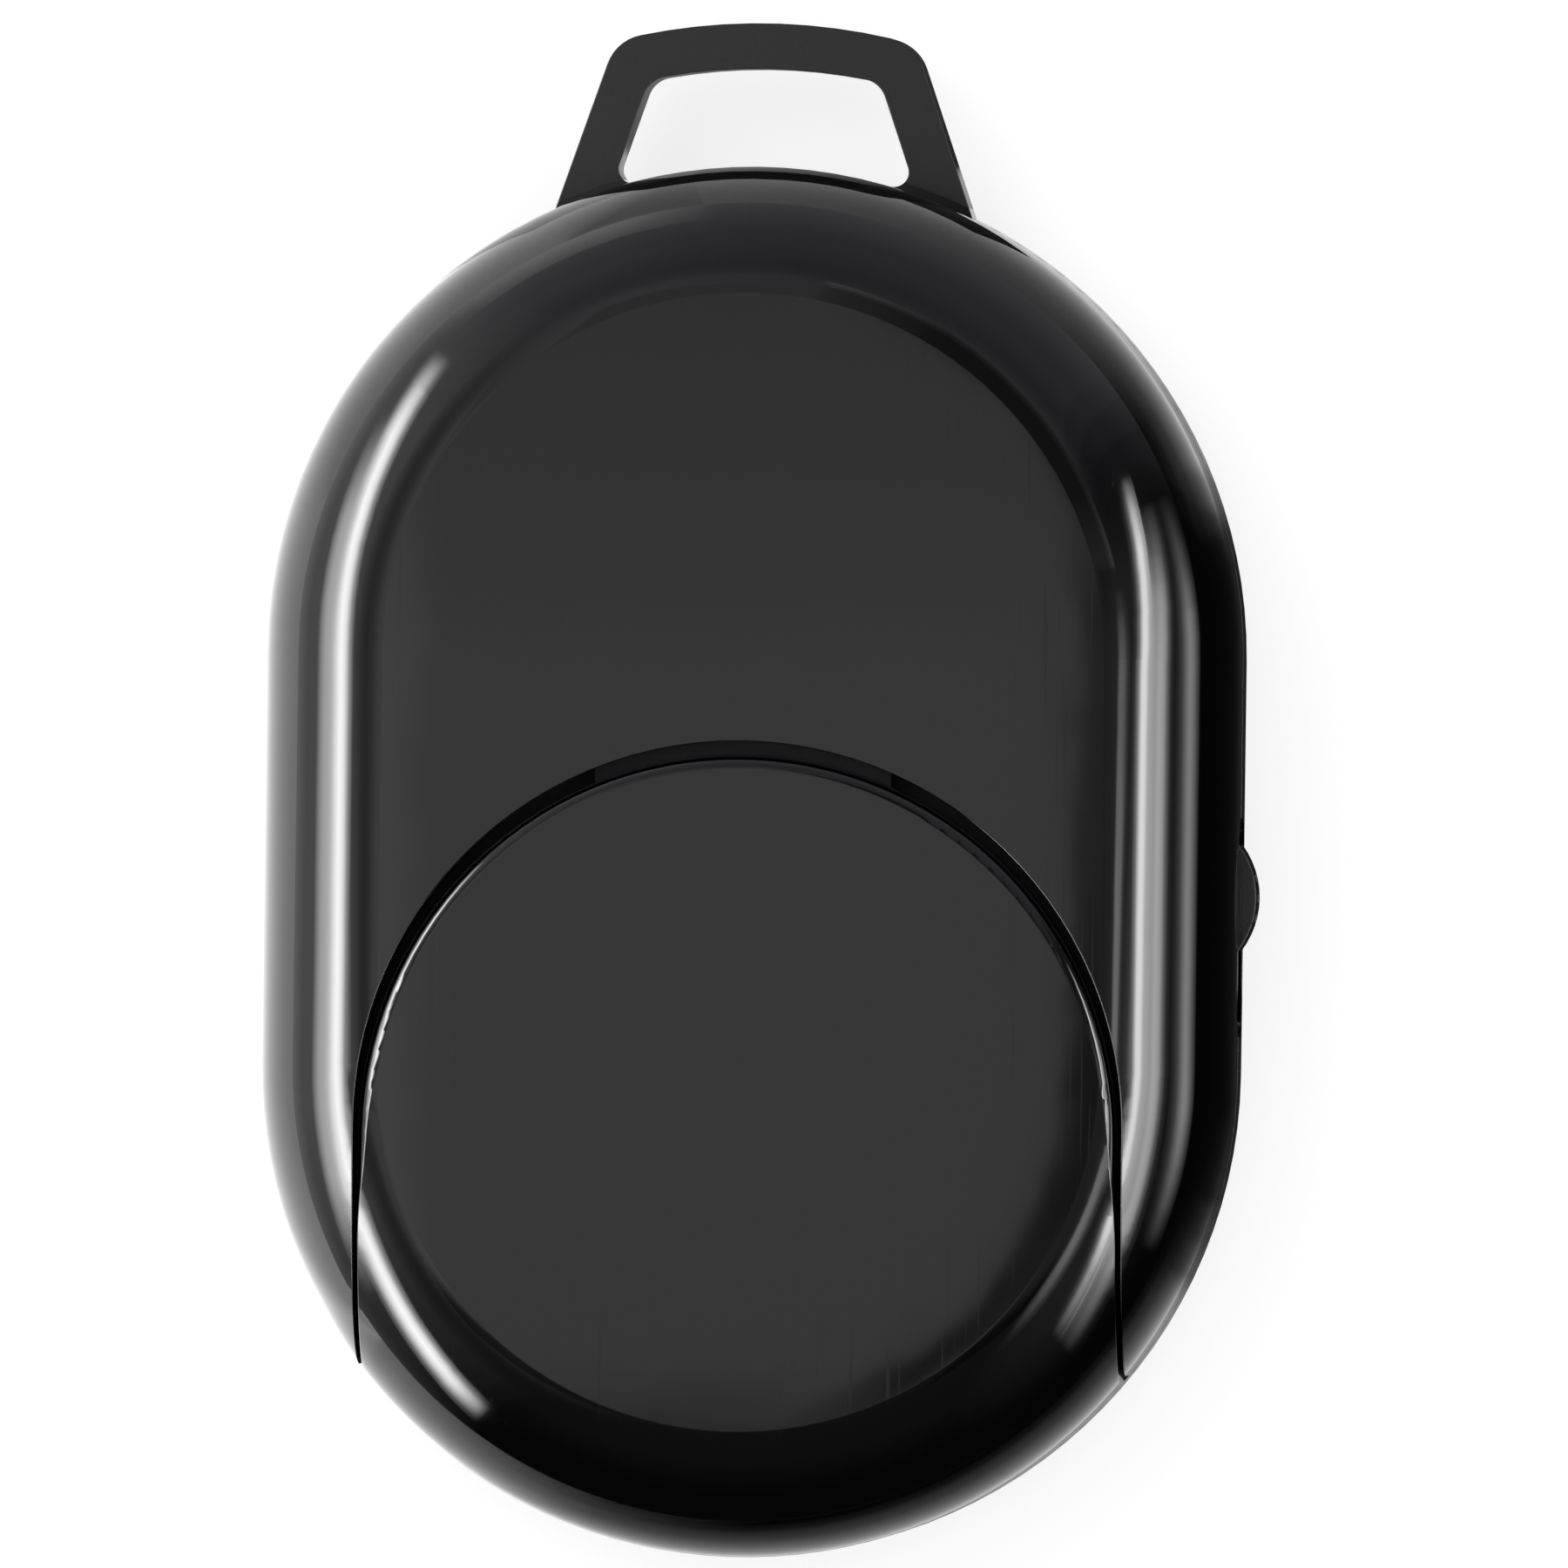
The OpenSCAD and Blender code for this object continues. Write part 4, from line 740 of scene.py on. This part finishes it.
class REMOTE_OT_build_stage(bpy.types.Operator):
    """Makes the table, the lights, the world and the camera"""
    bl_idname = "remote.build_stage"
    bl_label = "Table, lights and camera"

    def execute(self, context):
        look = context.scene.remote_stage
        self.table(look)
        self.world(context.scene, look)
        self.lamp(context.scene, look)
        self.left_cards()
        self.right_cards()
        self.end_cards()
        self.overhead_cards()
        self.table_cards()
        self.camera(context.scene, look)
        context.scene.view_settings.view_transform = "Standard"
        return {"FINISHED"}

    def table(self, look):
        """A dull white table that keeps the remote's shadow and shows white in the picture."""
        material, tree = new_material("Matt laminate, white")
        lift = add(tree, "ShaderNodeMath", {0: seen_sharply(tree), 1: look.lift}, operation="MULTIPLY")
        dull = add(tree, "ShaderNodeBsdfDiffuse", {"Color": rgba(look.floor), "Roughness": 0.5})
        glow = add(tree, "ShaderNodeEmission", {"Strength": lift.outputs[0]})
        both = add(tree, "ShaderNodeAddShader", {0: dull.outputs[0], 1: glow.outputs[0]})
        add(tree, "ShaderNodeOutputMaterial", {"Surface": both.outputs[0]})
        rows = [[(x, y, 0) for x in (-TABLE_HALF, TABLE_HALF)] for y in (-TABLE_HALF, TABLE_HALF)]
        sheet_of("table", rows, material)

    def world(self, scene, look):
        """White where the camera or a polished surface looks, and softer on dull surfaces."""
        scene.world = bpy.data.worlds.new("White room")
        scene.world.use_nodes = True
        tree = scene.world.node_tree
        tree.nodes.clear()
        sharp = seen_sharply(tree)
        dim = add(tree, "ShaderNodeBackground", {"Color": (1, 1, 1, 1), "Strength": look.fill})
        white = add(tree, "ShaderNodeBackground", {"Color": (1, 1, 1, 1), "Strength": 1.0})
        mix = add(tree, "ShaderNodeMixShader", {0: sharp, 1: dim.outputs[0], 2: white.outputs[0]})
        add(tree, "ShaderNodeOutputWorld", {"Surface": mix.outputs[0]})

    def lamp(self, scene, look):
        """A soft key lamp at the upper left, which only dull surfaces catch."""
        data = bpy.data.lights.new("key_lamp", "AREA")
        data.energy = look.key
        data.size = LAMP_WIDTH
        key = bpy.data.objects.new("key_lamp", data)
        key.location = LAMP_PLACE
        key.rotation_euler = (-key.location).to_track_quat("-Z", "Y").to_euler()
        key.visible_camera = False
        key.visible_glossy = False
        scene.collection.objects.link(key)

    # The levels of the cards are those that the housing's round shows at each tilt in such a picture

    def left_cards(self):
        """Bright streaks down the left side, on a grey that grows towards the rim."""
        studio_card("left_softbox", NEAR, [
            (31, 1.2), (35, 7.0), (39, 20.0), (43, 25.0), (47, 19.0), (51, 9.0), (54, 3.0), (57, 1.3)],
            [(138, 0.0), (141, 0.35), (145, 0.7), (150, 0.95), (158, 1.0), (221, 1.0), (226, 0.85),
             (229, 0.45), (231.5, 0.0)], bow=20, highest=183)
        studio_card("left_shaded_softbox", NEARER, [
            (47, 19.0), (51, 12.0), (55, 9.3), (58.5, 8.5), (62.5, 5.5), (67, 1.5)],
            [(148, 0.0), (155, 0.5), (162, 1.0), (196, 1.0), (202, 0.6), (211, 0.0)], bow=20)
        studio_card("left_scrim", FAR, [
            (6, 1.1), (12, 1.1), (15.5, 0.6), (19.5, 0.46), (23.5, 0.6), (27.5, 0.85), (31, 1.2),
            (66, 1.5), (78, 1.35), (86, 1.8), (93, 2.2)],
            [(124, 0.0), (150, 1.0), (185, 1.0), (200, 0.75), (212, 0.35), (232, 0.0)])
        studio_card("head_left_scrim", FAR_FRONT, [
            (48, 0.65), (60, 0.8), (68, 1.15), (76, 1.7), (85, 2.3), (95, 2.8)],
            [(98, 0.0), (112, 0.9), (122, 1.0), (130, 0.8), (138, 0.0)])

    def right_cards(self):
        """Three narrower streaks down the right side, on black."""
        studio_card("right_softbox", NEAR, [
            (20, 0.4), (23, 0.8), (26.3, 4.3), (29.8, 18.0), (32.8, 18.0), (35.8, 9.8), (38, 8.5)],
            [(-44, 0.0), (-34, 0.4), (-28, 0.9), (0, 1.0), (19, 1.0), (24, 0.6), (29, 0.0)],
            bow=26, highest=-10)
        studio_card("right_shaded_softbox", NEARER, [
            (36, 9.7), (42, 7.8), (46, 9.6), (50, 7.6), (53.5, 2.6), (57, 0.5), (61, 0.2)],
            [(-44, 0.0), (-34, 0.4), (-28, 0.9), (0, 1.0), (10, 0.8), (17, 0.3), (24, 0.0)],
            bow=26, highest=-10)
        studio_card("right_low_softbox", NEAR, [
            (62, 0.2), (66, 0.5), (70, 1.2), (74, 3.2), (77.5, 4.9), (80, 4.5), (82, 3.6), (86, 1.5),
            (90, 0.1)], [(-26, 0.0), (-12, 0.7), (-6, 1.0), (6, 0.9), (14, 0.35), (24, 0.0)])
        studio_card("right_strip", NEAR, [
            (6, 0.35), (9.5, 0.5), (11.5, 3.8), (15, 3.4), (18, 1.2), (21, 0.4)],
            [(-58, 0.0), (-40, 0.9), (-15, 1.0), (0, 0.9), (9, 0.4), (16, 0.0)])
        studio_card("right_flag", FAR, [
            (3, 0.35), (20, 0.3), (35, 0.25), (58, 0.12), (66, 0.05), (80, 0.01), (97, 0.01)],
            [(-64, 0.0), (-40, 1.0), (14, 1.0), (30, 0.0)])

    def end_cards(self):
        """Black round the foot and a faintly violet grey round the head, behind the other cards."""
        studio_card("foot_flag", FARTHEST, [
            (3, 0.1), (30, 0.08), (44, 0.05), (60, 0.02), (97, 0.015)], [(-178, 1.0), (-30, 1.0)], False)
        studio_card("head_scrim", FARTHEST, [
            (4, 0.6), (18, 0.58), (23, 0.45), (29, 0.41), (37, 0.47), (47, 0.55), (59, 0.58),
            (67, 0.66), (78, 0.78), (89, 0.9), (96, 1.0)],
            [(10, 0.1), (20, 0.1), (32, 0.35), (42, 0.9), (60, 0.95), (90, 1.0), (105, 1.2), (120, 1.4),
             (160, 1.5)], False, tint="#F6F2FA")

    def overhead_cards(self):
        """The even grey that the flat back mirrors, and the black at its border."""
        flat_card("overhead_scrim", [
            [(-26, -27, 100), (-26, 36, 100)], [(17, -27, 100), (17, 36, 100)]],
            [(-26, 1.1), (-19, 1.35), (-17.5, 0.97), (5.5, 0.97), (6.1, 0.32), (17, 0.3)],
            [(-27, 0.1), (-22.5, 0.15), (-21, 0.5), (-18.5, 1.0), (7, 1.0), (12, 0.86), (21, 0.76),
             (24, 0.6), (36, 0.6)])
        # A black sector just outside of what the flat back mirrors, towards the head's right
        sector = [(MIRRORED_HEAD_Y, side) for side in range(14, 82, 4)]
        flat_card("head_corner_flag", ring((13.3, 42), sector, FLAG_HEIGHT, MIRRORED_X),
                  [(0, 0.25), (0.12, 0.12), (0.7, 0.12), (1, 0.35)],
                  [(14, 3.0), (26, 1.0), (58, 1.0), (78, 3.5)])
        # A black strip at the border of what the cover's flat mirrors, from the right side to the foot.
        # Its last two points run up the straight side
        border = [(MIRRORED_FOOT_Y, side) for side in range(-84, 1, 6)] + [(-4, 0), (-1, 0)]
        flat_card("foot_corner_flag", ring((12.1, 13.4), border, FLAG_HEIGHT, MIRRORED_X),
                  [(0, 0.1), (1, 0.1)],
                  [(0, 0.0), (2, 0.4), (4, 1.0), (14, 1.0), (15, 0.5), (16, 0.0)], True)

    def table_cards(self):
        """What the rim mirrors in the table: grey and black at the right and the ends, white at the left."""
        foot = [(-ARC_MIDDLE, side) for side in range(-165, 1, 5)]
        table_card("foot_table_flag", 0.2, foot, [
            (15.5, 0.3), (17.3, 0.35), (18.6, 1.15), (24, 0.85), (33, 0.42), (57, 0.1), (120, 0.015),
            (900, 0.01)],
            [(-165, 0.0), (-140, 0.15), (-110, 0.85), (-92, 1.0), (0, 1.0)])
        head = [(ARC_MIDDLE, side) for side in range(0, 96, 5)]
        table_card("head_table_flag", 0.2, head, [
            (15.5, 0.3), (17.3, 0.35), (18.6, 1.2), (24, 0.9), (33, 0.4), (57, 0.15), (120, 0.08),
            (900, 0.06)],
            [(0, 1.0), (32, 1.0), (40, 0.75), (50, 0.45), (60, 0.4), (75, 0.25), (95, 0.0)])
        right = [(-ARC_MIDDLE, side) for side in range(-45, 1, 5)]
        right += [(ARC_MIDDLE, side) for side in range(0, 31, 5)]
        table_card("right_table_flag", 0.4, right, [(13, 0.02), (40, 0.01), (900, 0.01)],
                   [(0, 0.0), (2, 0.0), (3, 0.15), (4, 0.72), (5, 0.87), (6, 0.97), (8, 1.0), (12, 1.0),
                    (13, 0.97), (14, 0.62), (15, 0.1), (16, 0.0)])
        flat_card("left_table_reflector", [
            [(-4, 31, 0.1), (-13, 30, 0.1), (-12, 18, 0.1), (-14, 9, 0.1), (-14, -9, 0.1),
             (-12, -17, 0.1), (-1, -23, 0.1)],
            [(-150, 900, 0.1), (-420, 800, 0.1), (-760, 560, 0.1), (-900, 300, 0.1), (-900, -300, 0.1),
             (-760, -560, 0.1), (-80, -900, 0.1)]],
            [(0, 2.0), (1, 2.2)],
            [(0, 0.5), (1, 1.0), (2, 1.1), (3, 1.4), (4, 1.5), (4.5, 2.0), (5, 1.2), (5.2, 0.85), (6, 0.8)])
        # The walls of the loop's opening mirror the table just under them
        flat_card("loop_table_flag", [
            [(-6.8, 23.8, 0.3), (-6.8, 30, 0.3)], [(11, 23.8, 0.3), (11, 30, 0.3)]],
            [(-6.8, 0.5), (-5, 0.4), (6, 0.06), (11, 0.03)], [(23.8, 0.4), (25.5, 1.0), (30, 1.0)])

    def camera(self, scene, look):
        """A long lens over the back face, a little towards the knob's side."""
        data = bpy.data.cameras.new("camera")
        camera = bpy.data.objects.new("camera", data)
        scene.collection.objects.link(camera)
        back = Vector((math.sin(look.lean), 0, math.cos(look.lean)))
        level = Vector((0, 1, 0)).cross(back)
        up = Vector((0, math.cos(look.roll), 0)) - math.sin(look.roll) * level
        right = up.cross(back).normalized()
        up = back.cross(right)
        middle = Vector((*look.middle, TOP))
        turn = Matrix((right, up, back)).transposed().to_4x4()
        camera.matrix_world = Matrix.Translation(middle + back * look.distance) @ turn
        data.sensor_width = 36.0
        data.lens = data.sensor_width * look.distance / look.picture
        data.clip_start = 0.01
        data.clip_end = 20.0
        scene.camera = camera


OPERATORS = [
    REMOTE_OT_finish_shells, REMOTE_OT_finish_buttons, REMOTE_OT_finish_trim, REMOTE_OT_finish_board,
    REMOTE_OT_finish_switches, REMOTE_OT_finish_cell, REMOTE_OT_finish_chips, REMOTE_OT_build_stage,
]
GROUPS = [RemoteHousing, RemoteTrim, RemoteInside, RemoteStage]


class REMOTE_PT_panel(bpy.types.Panel):
    """Lists the remote's pieces and its stage"""
    bl_idname = "REMOTE_PT_panel"
    bl_label = "Pocket camera remote"
    bl_space_type = "VIEW_3D"
    bl_region_type = "UI"
    bl_category = "Remote"

    def draw(self, context):
        for group in ("remote_housing", "remote_trim", "remote_inside", "remote_stage"):
            settings = getattr(context.scene, group)
            box = self.layout.box()
            for name in settings.__annotations__:
                box.prop(settings, name)
        for operator in OPERATORS:
            self.layout.operator(operator.bl_idname)


def register():
    for cls in (*GROUPS, *OPERATORS, REMOTE_PT_panel):
        bpy.utils.register_class(cls)
    bpy.types.Scene.remote_housing = bpy.props.PointerProperty(type=RemoteHousing)
    bpy.types.Scene.remote_trim = bpy.props.PointerProperty(type=RemoteTrim)
    bpy.types.Scene.remote_inside = bpy.props.PointerProperty(type=RemoteInside)
    bpy.types.Scene.remote_stage = bpy.props.PointerProperty(type=RemoteStage)


def unregister():
    for name in ("remote_stage", "remote_inside", "remote_trim", "remote_housing"):
        delattr(bpy.types.Scene, name)
    for cls in reversed((*GROUPS, *OPERATORS, REMOTE_PT_panel)):
        bpy.utils.unregister_class(cls)


def main():
    register()
    bpy.ops.remote.finish_shells()
    bpy.ops.remote.finish_buttons()
    bpy.ops.remote.finish_trim()
    bpy.ops.remote.finish_board()
    bpy.ops.remote.finish_switches()
    bpy.ops.remote.finish_cell()
    bpy.ops.remote.finish_chips()
    bpy.ops.remote.build_stage()


if __name__ == "__main__":
    main()
